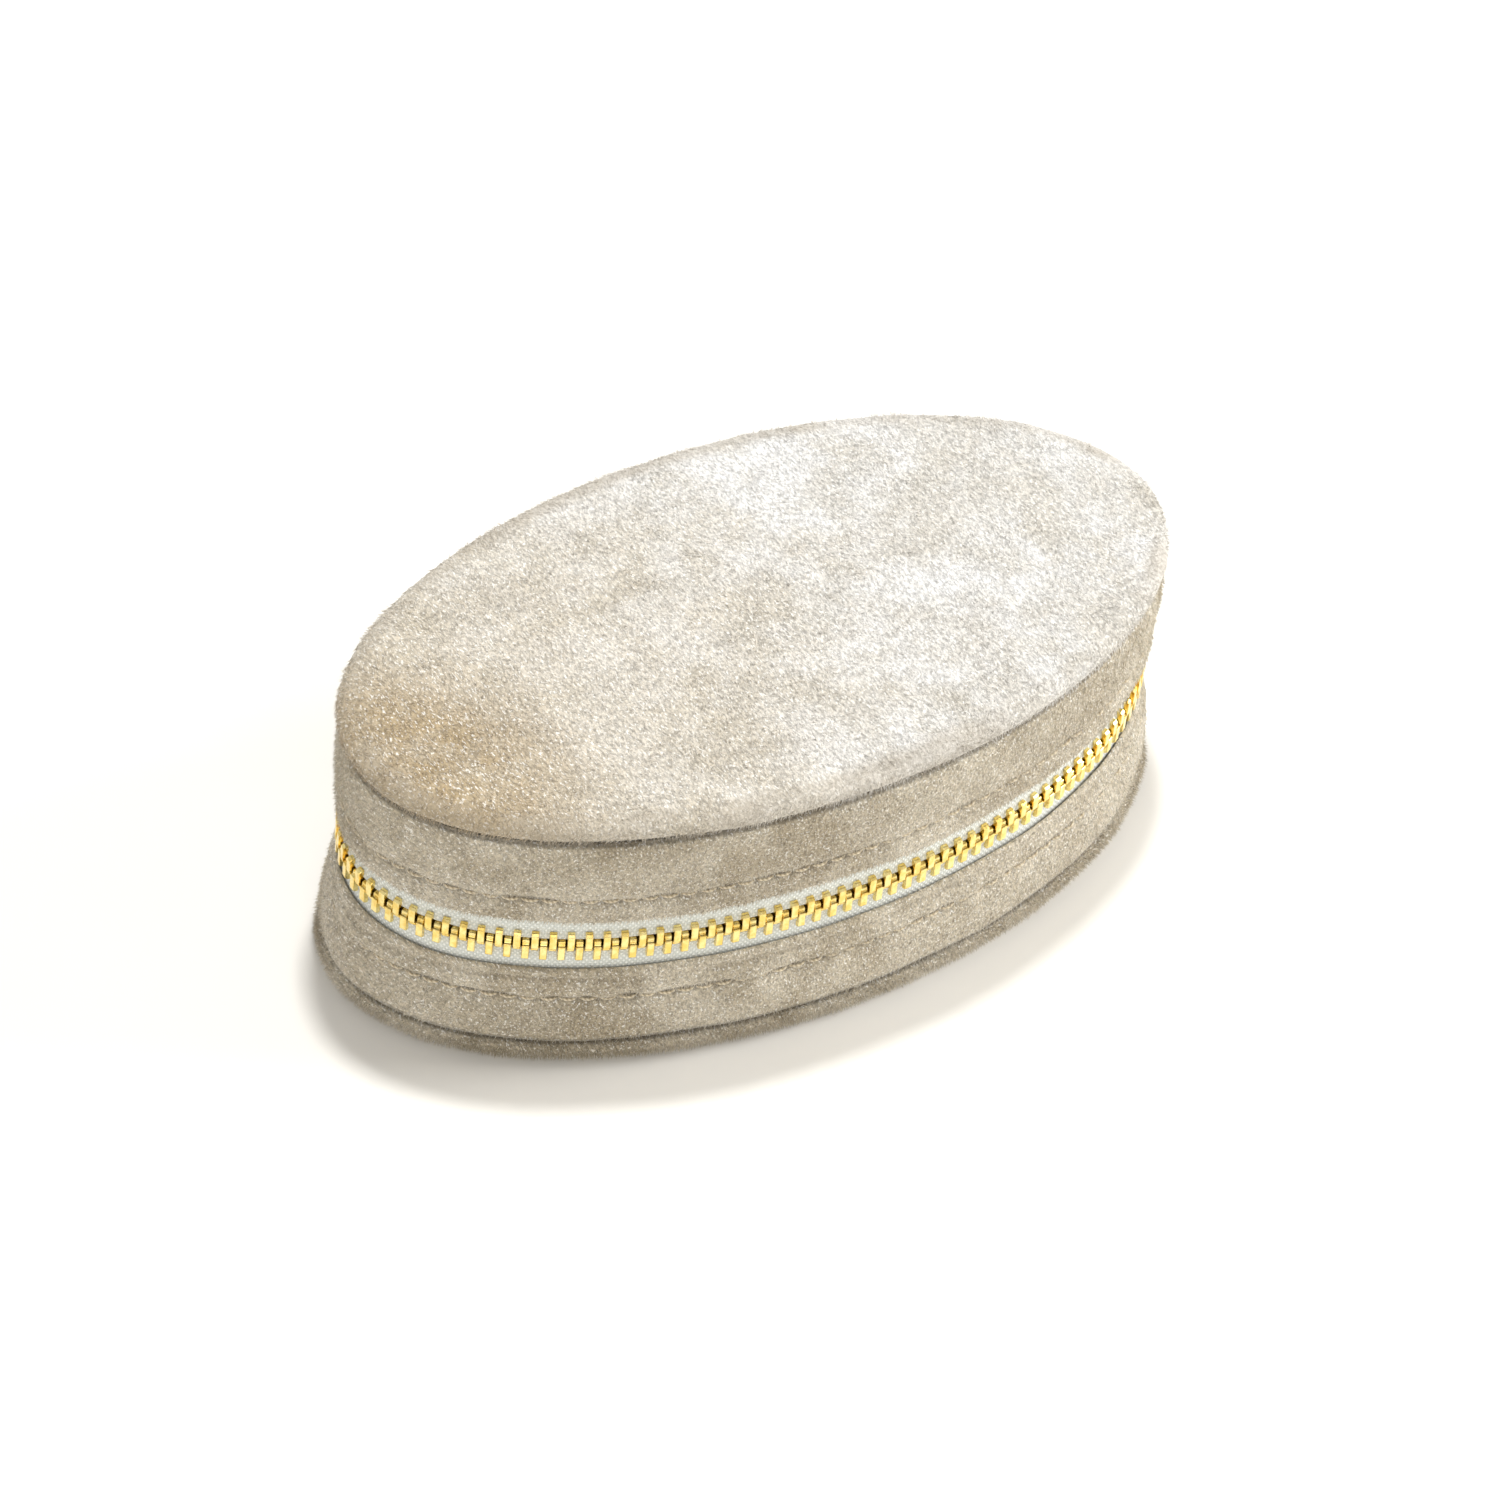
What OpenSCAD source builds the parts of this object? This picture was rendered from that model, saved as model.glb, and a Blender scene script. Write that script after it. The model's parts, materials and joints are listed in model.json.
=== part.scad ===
// Oval travel jewelry case: a soft-covered box in two halves, joined at the back by a fabric hinge
// and closed all the way round the front by a metal-toothed zip. Millimetres, +Z up, the origin at
// the middle of the underside, +X along the length and -Y to the front.

/* [Outline] */
// Half length of the lid's side wall
half_length = 73.2; // [65:0.1:80]
// Half width of the lid's side wall
half_width = 39.7; // [36:0.1:44]
// How far the base stands out beyond the lid at its bottom seam
base_flare = 2.1; // [0:0.1:2.4]
// How far the lid's top edge stands out beyond its side wall
lid_lip = 0.7; // [0.2:0.1:0.9]
// Flats round the oval
segments = 72; // [48:12:96]

/* [Heights] */
// Whole height of the closed case
case_height = 51.3; // [48:0.1:56]
// Seam between the lid's top panel and its side band
top_seam = 47.4; // [46:0.1:47.8]
// Folded lower edge of the lid's side band
lid_fold = 29.8; // [29.7:0.1:30.6]
// Stitch row in the lid's side band
lid_stitch_z = 34.4; // [34:0.1:35]
// Middle of the zip
zip_z = 24.0; // [23.9:0.1:24.2]
// Folded upper edge of the base's side band
base_fold = 19.0; // [18.8:0.1:19]
// Stitch row in the base's side band
base_stitch_z = 13.3; // [13:0.1:13.8]
// Seam between the base's bottom panel and its side band
bottom_seam = 4.9; // [4.6:0.1:5.4]

/* [Wall layers] */
// Pile fabric, with the felt under it
cover_t = 1.2; // [1:0.1:1.2]
// Zip tape
tape_t = 0.7; // [0.6:0.1:0.8]
// Stiffening board in the side walls
board_t = 1.4; // [1:0.1:1.6]
// Lining
lining_t = 1.0; // [0.8:0.1:1.2]
// Gap between one layer and the next
layer_gap = 0.1; // [0.05:0.05:0.1]

/* [Zip] */
// Distance from one tooth to the next on the same tape
tooth_pitch = 2.79; // [2.7:0.01:2.9]
// Thickness of a tooth along the tape
tooth_t = 1.0; // [0.9:0.05:1.05]
// Half width of the closed chain
chain_half = 3.0; // [2.8:0.1:3.1]
// How far a tooth reaches past the middle of the zip
tooth_reach = 0.6; // [0.4:0.1:0.7]
// Depth of a tooth through the tape
tooth_depth = 2.5; // [2.3:0.1:2.6]
// Angle round the oval at which the zip ends beside the hinge
zip_end_angle = 70.5; // [69:0.5:71]
// Length of the slider
slider_length = 11; // [10:0.5:11.5]
// Width of the slider
slider_width = 9.4; // [9:0.1:9.6]
// Length of the pull tab below its pivot
pull_length = 15; // [12:0.5:15.5]
// Width of the pull tab
pull_width = 5.6; // [5:0.1:7]

/* [Inside] */
// Ring rolls in the middle section
roll_count = 4; // [4:1:4]
// Radius of a ring roll
roll_r = 6.0; // [5.5:0.1:6.1]
// Distance between the middles of two ring rolls
roll_pitch = 12.8; // [12.4:0.1:12.8]
// Thickness of a divider
divider_t = 1.8; // [1.5:0.1:2]
// Top edge of the dividers
divider_top = 17.5; // [15:0.5:18]
// How far the mirror's edge lies inside the lid's side wall
mirror_inset = 15; // [12:0.5:20]

/* [Hidden] */

velvet = "#b7ab98";
lining_colour = "#c9bda9";
board_colour = "#8d8a84";
foam_colour = "#e6e0d2";
tape_colour = "#d9dad6";
thread_colour = "#cabb9c";
gold = "#d9ae4f";
mirror_colour = "#dfe6ea";

// Insets of the wall's layers, measured inwards from the lid's side wall
tape_in = cover_t + layer_gap;
board_in = tape_in + tape_t + layer_gap;
lining_in = board_in + board_t + layer_gap;
inside_in = lining_in + lining_t;
tape_mid = tape_in + tape_t / 2;

// Levels inside the lid, from the top down
cover_top_t = 1.0;
foam_t = 1.6;
top_board_t = 1.6;
panel_t = 2.2;
card_t = 0.8;
mirror_t = 1.1;
lid_foam_z = case_height - cover_top_t - layer_gap - foam_t;
lid_board_z = lid_foam_z - layer_gap - top_board_t;
lid_panel_z = lid_board_z - layer_gap - panel_t;
lid_card_z = lid_board_z - layer_gap - card_t;
lid_mirror_z = lid_card_z - layer_gap - mirror_t;

// Levels inside the base, from the bottom up
bottom_board_t = 1.8;
floor_foam_t = 1.6;
base_board_z = cover_top_t + layer_gap;
base_wall_z = base_board_z + bottom_board_t + layer_gap;
base_lining_z = base_wall_z + floor_foam_t + layer_gap;
floor_z = base_lining_z + lining_t + layer_gap;

// The stiff walls stop short of the zip, so that the slider can pass
stiff_gap = 5.3;
base_wall_top = zip_z - stiff_gap;
lid_wall_bottom = zip_z + stiff_gap;
tape_edge = 1.3;
tape_hem = 13.2;

// The zip's track runs clockwise from beside the hinge's right end round the front to its left end
hinge_gap_angle = 1.5;
track_sweep = 360 - 2 * (90 - zip_end_angle);
track_steps = 360;
track = arc_table(zip_end_angle, -track_sweep, tape_mid, track_steps);
track_length = track[track_steps][0];
slider_start = 1.5;
first_tooth = slider_start + 3.4;
end_teeth = ceil((slider_start + slider_length + tooth_t / 2 - first_tooth) / tooth_pitch) + 1;
lid_zip_start = first_tooth + (end_teeth - 0.5) * tooth_pitch;
lid_zip_end = track_length - 5;
tooth_count = floor((track_length - 5 - first_tooth) / tooth_pitch);

// The slider runs on the circle that best follows the track between its two places
travel_mid_angle = 54;
travel_centre = curve_centre(travel_mid_angle);
travel_r = norm(oval_point(travel_mid_angle, tape_mid) - travel_centre);
slider_angle = angle_at(track, slider_start + slider_length / 2);
slider_point = oval_point(slider_angle, tape_mid);
slider_heading = atan2(slider_point[1] - travel_centre[1], slider_point[0] - travel_centre[0]);
slider_half_sweep = slider_length / 2 / travel_r * 180 / PI;

plate_gap = 1.6;
plate_t = 0.9;
flange_t = 0.8;
flange_gap = 0.75;
wedge_length = 1.6;
wedge_half = 0.9;
crown_half = 3.4;
crown_foot = 0.9;
crown_bar_w = 1.0;
crown_bar_t = 0.9;
crown_sink = 0.3;
pivot_out = 4.5;
eye_r = 1.7;
eye_hole_r = 1.0;
eye_t = 1.6;
pull_t = 1.1;

stitch_length = 2.2;
stitch_pitch = 3.0;
stitch_t = 0.35;
stitch_dip = 0.65;

// A point on the oval at one angle, moved inwards
function oval_point(angle, inset) =
    [(half_length - inset) * cos(angle), (half_width - inset) * sin(angle)];
function oval_points(inset, from, sweep, steps) =
    [for (i = [0:steps]) oval_point(from + sweep * i / steps, inset)];
function full_oval(inset) = [for (i = [0:segments - 1]) oval_point(360 * i / segments, inset)];
function reverse(list) = [for (i = [len(list) - 1:-1:0]) list[i]];

// Centre of the circle that the oval follows at one angle
function curve_centre(angle) =
    let (focus = half_length * half_length - half_width * half_width)
    [focus / half_length * pow(cos(angle), 3), -focus / half_width * pow(sin(angle), 3)];

// Pairs of distance along the oval and angle, for even spacing
function arc_table(from, sweep, inset, steps) =
    [for (i = 0, s = 0; i <= steps;
        s = s + norm(oval_point(from + sweep * (i + 1) / steps, inset)
            - oval_point(from + sweep * i / steps, inset)),
        i = i + 1) [s, from + sweep * i / steps]];
function angle_at(table, s) = lookup(s, table);

// Half width of the room inside at one place along the length
function room_half_width(x) = (half_width - inside_in) * sqrt(1 - pow(x / (half_length - inside_in), 2));

// How far the base stands out at one height
function flare(z) = base_flare * (base_fold - z) / (base_fold - bottom_seam);

// A skin through rings of [inset, z], either closed on itself or capped at both ends
module oval_skin(rings, closed) {
    count = len(rings);
    points = [for (ring = rings) for (p = full_oval(ring[0])) [p[0], p[1], ring[1]]];
    bands = closed ? count : count - 1;
    sides = [for (j = [0:bands - 1]) for (i = [0:segments - 1])
        let (k = (j + 1) % count, n = (i + 1) % segments)
        [j * segments + i, k * segments + i, k * segments + n, j * segments + n]];
    first_cap = [for (i = [0:segments - 1]) i];
    last_cap = [for (i = [segments - 1:-1:0]) (count - 1) * segments + i];
    polyhedron(points, closed ? sides : concat(sides, [first_cap, last_cap]), convexity = 4);
}

// A flat oval plate
module oval_plate(inset, z, thickness) {
    translate([0, 0, z])
        linear_extrude(thickness) polygon(full_oval(inset));
}

// A wall that goes all the way round
module oval_wall(inset, thickness, z_low, z_high) {
    translate([0, 0, z_low])
        linear_extrude(z_high - z_low)
            difference() {
                polygon(full_oval(inset));
                polygon(full_oval(inset + thickness));
            }
}

// A wall along part of the oval
module wall_piece(inset, thickness, z_low, z_high, from, sweep) {
    steps = ceil(abs(sweep) / 360 * segments);
    outer = oval_points(inset, from, sweep, steps);
    inner = oval_points(inset + thickness, from, sweep, steps);
    translate([0, 0, z_low])
        linear_extrude(z_high - z_low) polygon(concat(outer, reverse(inner)));
}

// Puts its children on the oval: +X points outwards, +Y along the wall and +Z up
module on_oval(angle, inset, z) {
    p = oval_point(angle, inset);
    heading = atan2(sin(angle) / (half_width - inset), cos(angle) / (half_length - inset));
    translate([p[0], p[1], z])
        rotate([0, 0, heading]) children();
}

// One tooth, rising from its tape by side = 1 or hanging from it by side = -1
module tooth(side) {
    low = side > 0 ? -tooth_reach : -chain_half;
    translate([-tooth_depth / 2, -tooth_t / 2, low])
        cube([tooth_depth, tooth_t, chain_half + tooth_reach]);
}

// A row of teeth, from one tooth's number to another's
module tooth_row(side, first, last) {
    shift = side > 0 ? 0 : tooth_pitch / 2;
    for (i = [first:last])
        on_oval(angle_at(track, first_tooth + shift + i * tooth_pitch), tape_mid, zip_z) tooth(side);
}

// A row of stitches all the way round
module stitch_row(inset, z) {
    table = arc_table(0, 360, inset, track_steps);
    count = floor(table[track_steps][0] / stitch_pitch);
    pitch = table[track_steps][0] / count;
    for (i = [0:count - 1])
        on_oval(angle_at(table, i * pitch), inset, z)
            translate([layer_gap / 2, -stitch_length / 2, -stitch_t / 2])
                cube([stitch_t, stitch_length, stitch_t]);
}

module lid_top_cover() {
    pocket_top = case_height - cover_top_t;
    color(velvet)
        oval_skin([[cover_t, pocket_top], [cover_t, top_seam], [0.2, top_seam], [-lid_lip * 0.8, top_seam + 0.7],
            [-lid_lip, top_seam + 1.8], [-lid_lip * 0.6, case_height - 0.9], [0.4, case_height - 0.2],
            [2.0, case_height]], false);
}

module lid_top_foam() {
    color(foam_colour) oval_plate(cover_t + layer_gap, lid_foam_z, foam_t);
}

module lid_top_board() {
    color(board_colour) oval_plate(cover_t + layer_gap, lid_board_z, top_board_t);
}

// The band bulges on both sides of its stitch row
module lid_side_band() {
    seam = top_seam - layer_gap;
    color(velvet)
        oval_skin([[cover_t, lid_fold], [cover_t, seam], [0.8, seam], [0.15, seam - 1.8],
            [0, (seam + lid_stitch_z) / 2], [0.2, lid_stitch_z + 2.2], [stitch_dip, lid_stitch_z],
            [0.2, lid_stitch_z - 1.6], [0.15, lid_fold + 0.8], [0.7, lid_fold]], true);
}

module lid_side_board() {
    color(board_colour) oval_wall(board_in, board_t, lid_wall_bottom, lid_board_z - layer_gap);
}

module lid_side_lining() {
    color(lining_colour) oval_wall(lining_in, lining_t, lid_wall_bottom, lid_board_z - layer_gap);
}

// Padded frame round the mirror
module lid_lining_panel() {
    color(lining_colour)
        oval_wall(inside_in + layer_gap, mirror_inset - inside_in - 2 * layer_gap, lid_panel_z,
            lid_board_z - layer_gap);
}

module lid_mirror_card() {
    color(board_colour) oval_plate(mirror_inset, lid_card_z, card_t);
}

module lid_mirror() {
    color(mirror_colour) oval_plate(mirror_inset, lid_mirror_z, mirror_t);
}

module lid_stitching() {
    color(thread_colour) stitch_row(stitch_dip, lid_stitch_z);
}

module zip_tape_upper() {
    from = angle_at(track, lid_zip_start);
    to = angle_at(track, lid_zip_end);
    color(tape_colour)
        wall_piece(tape_in, tape_t, zip_z + tape_edge, zip_z + tape_hem, from, to - from);
}

module zip_teeth_upper() {
    color(gold) tooth_row(1, end_teeth, tooth_count - 1);
}

// Rounds under at the floor
module base_bottom_cover() {
    color(velvet)
        oval_skin([[2.1, 0], [-0.6, 1.0], [-base_flare * 0.9, 3.2], [-base_flare, bottom_seam - 1],
            [-base_flare * 0.7, bottom_seam], [cover_t, bottom_seam], [cover_t, cover_top_t]], false);
}

module base_bottom_board() {
    color(board_colour) oval_plate(cover_t + layer_gap, base_board_z, bottom_board_t);
}

module base_floor_foam() {
    color(foam_colour) oval_plate(inside_in + layer_gap, base_wall_z, floor_foam_t);
}

module base_floor_lining() {
    color(lining_colour) oval_plate(inside_in + layer_gap, base_lining_z, lining_t);
}

module base_side_band() {
    seam = bottom_seam + layer_gap;
    color(velvet)
        oval_skin([[cover_t, seam], [cover_t, base_fold], [0.7, base_fold],
            [0.15 - flare(base_fold - 0.8), base_fold - 0.8],
            [0.2 - flare(base_stitch_z + 1.8), base_stitch_z + 1.8],
            [stitch_dip - flare(base_stitch_z), base_stitch_z],
            [0.2 - flare(base_stitch_z - 2.0), base_stitch_z - 2.0],
            [-flare((base_stitch_z + seam) / 2), (base_stitch_z + seam) / 2],
            [0.1 - flare(seam + 1.5), seam + 1.5], [0.9 - flare(seam), seam]], true);
}

module base_side_board() {
    color(board_colour) oval_wall(board_in, board_t, base_wall_z, base_wall_top);
}

module base_side_lining() {
    color(lining_colour) oval_wall(lining_in, lining_t, base_wall_z, base_wall_top);
}

module base_stitching() {
    color(thread_colour) stitch_row(stitch_dip - flare(base_stitch_z), base_stitch_z);
}

module zip_tape_lower() {
    color(tape_colour)
        wall_piece(tape_in, tape_t, zip_z - tape_hem, zip_z - tape_edge, zip_end_angle, -track_sweep);
}

module zip_teeth_lower() {
    color(gold) tooth_row(-1, 0, tooth_count - 1);
}

// The upper tape's last stretch stays with the slider when the lid is up
module zip_tape_end() {
    to = angle_at(track, lid_zip_start - 0.6);
    color(tape_colour)
        wall_piece(tape_in, tape_t, zip_z + tape_edge, lid_fold - 0.4, zip_end_angle, to - zip_end_angle);
}

module zip_teeth_end() {
    color(gold) tooth_row(1, 0, end_teeth - 1);
}

module zip_top_stops() {
    stop_depth = 2.2;
    stop_length = 1.5;
    stop_height = 1.6;
    color(gold)
        for (side = [-1, 1])
            on_oval(angle_at(track, slider_start + 1.1), tape_mid, zip_z + side * 2.2)
                translate([-stop_depth / 2, -stop_length / 2, -stop_height / 2])
                    cube([stop_depth, stop_length, stop_height]);
}

module zip_bottom_stop() {
    stop_depth = 2.4;
    stop_length = 2;
    stop_height = 4.6;
    color(gold)
        on_oval(angle_at(track, track_length - 2.5), tape_mid, zip_z)
            translate([-stop_depth / 2, -stop_length / 2, -stop_height / 2])
                cube([stop_depth, stop_length, stop_height]);
}

module hinge_panel() {
    from = zip_end_angle + hinge_gap_angle;
    color(velvet)
        wall_piece(layer_gap, cover_t - layer_gap, base_fold + 0.2, lid_fold - 0.2, from, 180 - 2 * from);
}

module hinge_lining() {
    from = zip_end_angle + hinge_gap_angle;
    color(lining_colour)
        wall_piece(board_in + 2 * layer_gap, lining_t, base_wall_top + 0.2, lid_wall_bottom - 0.2, from,
            180 - 2 * from);
}

// A divider across the case, its near face at x
module divider(x, side) {
    half = room_half_width(abs(x) + divider_t) - 0.3;
    color(lining_colour)
        translate([side > 0 ? x : x - divider_t, -half, floor_z])
            cube([divider_t, 2 * half, divider_top - floor_z]);
}

divider_x = roll_pitch * (roll_count - 1) / 2 + roll_r + 0.3;
module divider_left() {
    divider(-divider_x, -1);
}

module divider_right() {
    divider(divider_x, 1);
}

module divider_cross() {
    start = divider_x + divider_t + layer_gap;
    reach = half_length - inside_in - 0.6 - start;
    color(lining_colour)
        translate([-start - reach, -divider_t / 2, floor_z])
            cube([reach, divider_t, divider_top - floor_z]);
}

function roll_x(number) = roll_pitch * (number - (roll_count + 1) / 2);
function roll_length(number) = 2 * room_half_width(abs(roll_x(number)) + roll_r) - 1.6;

// A cylinder lying across the case in a roll's place
module roll_solid(number, radius, length) {
    translate([roll_x(number), -length / 2, floor_z + roll_r + layer_gap])
        rotate([-90, 0, 0]) cylinder(h = length, r = radius, $fn = 48);
}

module ring_roll(number) {
    color(lining_colour)
        difference() {
            roll_solid(number, roll_r, roll_length(number));
            roll_solid(number, roll_r - lining_t, roll_length(number) + 2);
        }
}

module ring_roll_cores() {
    color(foam_colour)
        for (number = [1:roll_count]) roll_solid(number, roll_r - lining_t - layer_gap, roll_length(number));
}

// A curved bar of the slider, between two distances out from the tape's middle and two heights
module slider_bar(out_from, out_to, z_low, z_high) {
    translate([travel_centre[0], travel_centre[1], zip_z])
        rotate([0, 0, slider_heading - slider_half_sweep])
            rotate_extrude(angle = 2 * slider_half_sweep, $fn = 360)
                translate([travel_r + out_from, z_low]) square([out_to - out_from, z_high - z_low]);
}

// Puts its children at the slider: +X outwards, +Y towards the hinge and +Z up
module at_slider() {
    translate([travel_centre[0], travel_centre[1], zip_z])
        rotate([0, 0, slider_heading])
            translate([travel_r, 0, 0]) children();
}

module slider_body() {
    half = slider_width / 2;
    color(gold)
        union() {
            for (side = [-1, 1]) {
                out = side > 0 ? plate_gap : -plate_gap - plate_t;
                slider_bar(out, out + plate_t, -half, half);
                flange = side > 0 ? flange_gap : -plate_gap - plate_t / 2;
                flange_w = plate_gap + plate_t / 2 - flange_gap;
                slider_bar(flange, flange + flange_w, half - flange_t, half);
                slider_bar(flange, flange + flange_w, -half, flange_t - half);
            }
            at_slider()
                translate([-plate_gap - plate_t / 2, slider_length / 2 - wedge_length, -wedge_half])
                    cube([2 * plate_gap + plate_t, wedge_length - 0.3, 2 * wedge_half]);
        }
}

// Bridge on the slider's outer plate that holds the pull tab's eye
module slider_crown() {
    foot_from = plate_gap + plate_t - crown_sink;
    color(gold)
        at_slider()
            union() {
                for (side = [-1, 1])
                    translate([foot_from, side * (crown_half - crown_foot / 2) - crown_foot / 2, -crown_bar_w])
                        cube([pivot_out + crown_bar_t / 2 - foot_from, crown_foot, 2 * crown_bar_w]);
                translate([pivot_out - crown_bar_t / 2, -crown_half + crown_foot / 2, -crown_bar_w / 2])
                    cube([crown_bar_t, 2 * crown_half - crown_foot, crown_bar_w]);
            }
}

// Hangs from the crown's bar
module pull_tab() {
    neck = 2.6;
    color(gold)
        at_slider()
            translate([pivot_out, 0, 0]) {
                difference() {
                    union() {
                        rotate([90, 0, 0]) cylinder(h = eye_t, r = eye_r, center = true, $fn = 48);
                        translate([-pull_t / 2, -eye_t / 2, -neck - 0.5])
                            cube([pull_t, eye_t, neck - eye_hole_r]);
                    }
                    rotate([90, 0, 0]) cylinder(h = eye_t + 2, r = eye_hole_r, center = true, $fn = 48);
                }
                translate([-pull_t / 2, 0, 0])
                    rotate([90, 0, 90])
                        linear_extrude(pull_t)
                            union() {
                                translate([-pull_width / 2, pull_width / 2 - pull_length])
                                    square([pull_width, pull_length - pull_width / 2 - neck]);
                                translate([0, pull_width / 2 - pull_length]) circle(pull_width / 2, $fn = 48);
                            }
            }
}

lid_top_cover();
lid_top_foam();
lid_top_board();
lid_side_band();
lid_side_board();
lid_side_lining();
lid_lining_panel();
lid_mirror_card();
lid_mirror();
lid_stitching();
zip_tape_upper();
zip_teeth_upper();
base_bottom_cover();
base_bottom_board();
base_floor_foam();
base_floor_lining();
base_side_band();
base_side_board();
base_side_lining();
base_stitching();
zip_tape_lower();
zip_teeth_lower();
zip_tape_end();
zip_teeth_end();
zip_top_stops();
zip_bottom_stop();
hinge_panel();
hinge_lining();
divider_left();
divider_right();
divider_cross();
ring_roll(1);  // ring_roll_1
ring_roll(2);  // ring_roll_2
ring_roll(3);  // ring_roll_3
ring_roll(4);  // ring_roll_4
ring_roll_cores();
slider_body();
slider_crown();
pull_tab();
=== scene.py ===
import bmesh
import bpy
import json
import math
import numpy as np
from mathutils import Matrix, Vector, noise


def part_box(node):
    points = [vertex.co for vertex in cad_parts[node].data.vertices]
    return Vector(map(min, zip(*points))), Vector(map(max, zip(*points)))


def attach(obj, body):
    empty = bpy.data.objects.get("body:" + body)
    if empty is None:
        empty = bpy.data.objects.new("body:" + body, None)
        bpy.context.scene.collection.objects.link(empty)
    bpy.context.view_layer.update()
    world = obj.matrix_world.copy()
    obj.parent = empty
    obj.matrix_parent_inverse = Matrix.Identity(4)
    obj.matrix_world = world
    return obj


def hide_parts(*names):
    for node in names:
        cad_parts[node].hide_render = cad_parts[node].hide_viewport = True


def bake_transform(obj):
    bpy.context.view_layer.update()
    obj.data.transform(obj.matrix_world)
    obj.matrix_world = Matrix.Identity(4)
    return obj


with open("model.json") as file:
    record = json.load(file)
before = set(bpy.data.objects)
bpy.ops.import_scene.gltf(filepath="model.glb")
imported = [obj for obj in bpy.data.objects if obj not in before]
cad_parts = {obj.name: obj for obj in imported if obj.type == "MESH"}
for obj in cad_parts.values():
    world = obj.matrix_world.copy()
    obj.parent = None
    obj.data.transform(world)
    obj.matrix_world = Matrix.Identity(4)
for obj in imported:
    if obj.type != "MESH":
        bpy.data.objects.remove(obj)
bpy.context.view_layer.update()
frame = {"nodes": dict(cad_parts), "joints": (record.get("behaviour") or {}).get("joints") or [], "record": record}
mm = 0.001
full = 2 * math.pi
scene = bpy.context.scene

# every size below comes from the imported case
sideBandLow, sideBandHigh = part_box("lid_side_band")
baseBandLow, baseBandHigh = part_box("base_side_band")
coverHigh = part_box("lid_top_cover")[1]
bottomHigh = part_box("base_bottom_cover")[1]
mirrorLow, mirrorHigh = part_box("lid_mirror")
teethLow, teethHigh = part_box("zip_teeth_lower")[0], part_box("zip_teeth_upper")[1]
joints = {joint["name"]: joint for joint in frame["joints"]}
case = {
    "halfLength": sideBandHigh.x, "halfWidth": sideBandHigh.y, "height": coverHigh.z,
    "topSeam": sideBandHigh.z, "lidFold": sideBandLow.z, "baseFold": baseBandHigh.z,
    "bottomSeam": baseBandLow.z, "flare": bottomHigh.x - sideBandHigh.x,
    "zipZ": (teethLow.z + teethHigh.z) / 2,
    "lidStitch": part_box("lid_stitching")[0].z, "baseStitch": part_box("base_stitching")[0].z,
    "tapeInset": 1.65 * mm, "aroundSteps": 720,
}


# outline and surfaces

def arcTable(start, sweep, inset, steps=1440):
    angles = start + sweep * np.arange(steps + 1) / steps
    x = (case["halfLength"] - inset) * np.cos(angles)
    y = (case["halfWidth"] - inset) * np.sin(angles)
    return np.concatenate([[0], np.cumsum(np.hypot(np.diff(x), np.diff(y)))]), angles


def evenAngles(inset, count):
    lengths, angles = arcTable(0, full, inset)
    return np.interp(np.linspace(0, lengths[-1], count + 1)[:-1], lengths, angles)


# a smooth line through a few given points, evenly spaced
def smoothPath(points, count):
    p = np.array(points, float)
    q = np.concatenate([2 * p[:1] - p[1:2], p, 2 * p[-1:] - p[-2:-1]])
    fine = []
    for k in range(1, len(q) - 2):
        for t in np.linspace(0, 1, 24, endpoint=False):
            a, b, c, d = q[k - 1], q[k], q[k + 1], q[k + 2]
            fine.append(0.5 * (2 * b + (c - a) * t + (2 * a - 5 * b + 4 * c - d) * t * t
                               + (3 * b - a - 3 * c + d) * t ** 3))
    fine = np.array(fine + [p[-1]])
    run = np.concatenate([[0], np.cumsum(np.linalg.norm(np.diff(fine, axis=0), axis=1))])
    stops = np.linspace(0, run[-1], count + 1)
    return np.stack([np.interp(stops, run, fine[:, 0]), np.interp(stops, run, fine[:, 1])], -1)


def noiseAt(points, size, seed=0.0):
    shift = Vector((seed, seed * 1.7, seed * 0.6))
    scale = 1 / size
    flat = points.reshape(-1, 3)
    return np.array([noise.noise(Vector(p) * scale + shift) for p in flat]).reshape(points.shape[:-1])


def gridNormals(grid, closedAround):
    if closedAround:
        along = np.roll(grid, -1, 1) - np.roll(grid, 1, 1)
    else:
        along = np.gradient(grid, axis=1)
    across = np.gradient(grid, axis=0)
    normal = np.cross(along, across)
    length = np.linalg.norm(normal, axis=-1, keepdims=True)
    return normal / np.maximum(length, 1e-12)


def newObject(name, mesh):
    piece = bpy.data.objects.new(name, mesh)
    scene.collection.objects.link(piece)
    return piece


def fromBmesh(name, bm):
    mesh = bpy.data.meshes.new(name)
    bm.to_mesh(mesh)
    bm.free()
    return newObject(name, mesh)


# hides the imported nodes a piece stands for and hangs the piece on the body it rides on
def handIn(piece, nodes=(), body=None):
    if nodes:
        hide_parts(*nodes)
    if body:
        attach(piece, body)


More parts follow.
